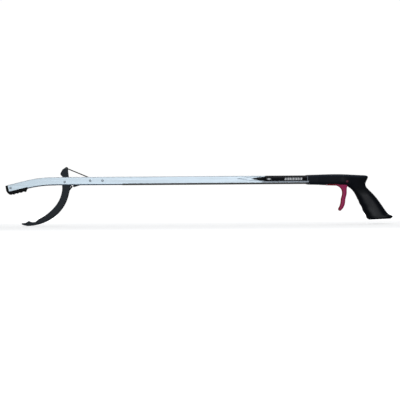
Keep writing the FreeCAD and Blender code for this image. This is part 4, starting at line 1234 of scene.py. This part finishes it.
def build_stage():
    """Pale floor just under the object. It shows near white, and throws little light back."""
    level = cad_bounds[0].z - FLOOR_GAP
    corners = ((-1, -1), (1, -1), (1, 1), (-1, 1))
    floor = new_object("studio_floor",
                       [(x * FLOOR_HALF, y * FLOOR_HALF, level) for x, y in corners],
                       [(0, 1, 2, 3)])
    finish = Finish("floor_white", 0.8, specular=0.2)
    cloud = finish.noise((1.5, 1.5, 1.5), detail=2.0)
    finish.colour(finish.mix(cloud, *FLOOR_WHITE))
    finish.shader.inputs["Emission Color"].default_value = (1.0, 1.0, 1.0, 1.0)
    away = finish.join("ABSOLUTE", finish.axis("Y"), 0.0)
    glow = finish.span(away, NEAR_GLOW[0], FAR_GLOW[0], NEAR_GLOW[1], FAR_GLOW[1])
    finish.links.new(glow, finish.shader.inputs["Emission Strength"])
    dull = finish.nodes.new("ShaderNodeBsdfDiffuse")
    dull.inputs["Color"].default_value = (0.3, 0.3, 0.3, 1.0)
    out = next(n for n in finish.nodes if n.type == "OUTPUT_MATERIAL")
    camera_choice(finish.nodes, finish.links, dull.outputs["BSDF"],
                  finish.shader.outputs["BSDF"], out)
    paint(floor, finish.material)


LIGHT_TARGET = (-0.37, 0.0, 0.02)


def area_light(name, place, size, power, colour=(1.0, 1.0, 1.0)):
    """A rectangular light in metres and watts, turned to the object."""
    data = bpy.data.lights.new(name, "AREA")
    data.shape = "RECTANGLE"
    data.size, data.size_y = size
    data.energy = power
    data.color = colour
    light = bpy.data.objects.new(name, data)
    bpy.context.scene.collection.objects.link(light)
    light.location = place
    towards = Vector(LIGHT_TARGET) - Vector(place)
    light.rotation_euler = towards.to_track_quat("-Z", "Y").to_euler()


WORLD_SEEN = ((1.0, 1.0, 1.0, 1.0), 1.02)  # colour and strength
WORLD_FILL = ((0.9, 0.95, 1.0, 1.0), 0.12)


def build_light():
    """Soft light from the front, above and behind, in a white room that adds a little fill."""
    scene = bpy.context.scene
    scene.view_settings.view_transform = "Standard"
    world = bpy.data.worlds.new("studio")
    scene.world = world
    world.use_nodes = True
    nodes = world.node_tree.nodes
    nodes.clear()
    backgrounds = []
    for colour, strength in (WORLD_FILL, WORLD_SEEN):
        background = nodes.new("ShaderNodeBackground")
        background.inputs["Color"].default_value = colour
        background.inputs["Strength"].default_value = strength
        backgrounds.append(background.outputs["Background"])
    out = nodes.new("ShaderNodeOutputWorld")
    camera_choice(nodes, world.node_tree.links, *backgrounds, out)
    area_light("key_front", (-0.2, -6.2, 0.9), (2.4, 1.2), 122.0, (0.94, 0.97, 1.0))
    area_light("top_soft", (-0.37, 0.2, 2.6), (4.0, 2.4), 40.0)
    area_light("back_soft", (-0.2, 3.4, 1.8), (3.0, 1.4), 40.0)


VIEW_DISTANCE = 5.0
VIEW_WIDTH = 0.8682
VIEW_CENTRE = (-0.3646, 0.0, 0.0025)
VIEW_ROLL = 0.4  # degrees


def build_camera():
    """Level view along +Y with a long lens, rolled a little."""
    data = bpy.data.cameras.new("camera")
    camera = bpy.data.objects.new("camera", data)
    bpy.context.scene.collection.objects.link(camera)
    data.sensor_width = 36.0
    data.lens = data.sensor_width * VIEW_DISTANCE / VIEW_WIDTH
    data.clip_start = 0.1
    data.clip_end = 100.0
    roll = Matrix.Rotation(math.radians(VIEW_ROLL), 4, "Y")
    level = Matrix.Rotation(math.radians(90.0), 4, "X")
    place = Vector(VIEW_CENTRE) + Vector((0.0, -VIEW_DISTANCE, 0.0))
    camera.matrix_world = Matrix.Translation(place) @ roll @ level
    bpy.context.scene.camera = camera


build_claw()
build_pad()
build_trigger()
build_handle()
build_cord()
build_spring()
build_label()
build_marks()
build_stage()
build_light()
build_camera()
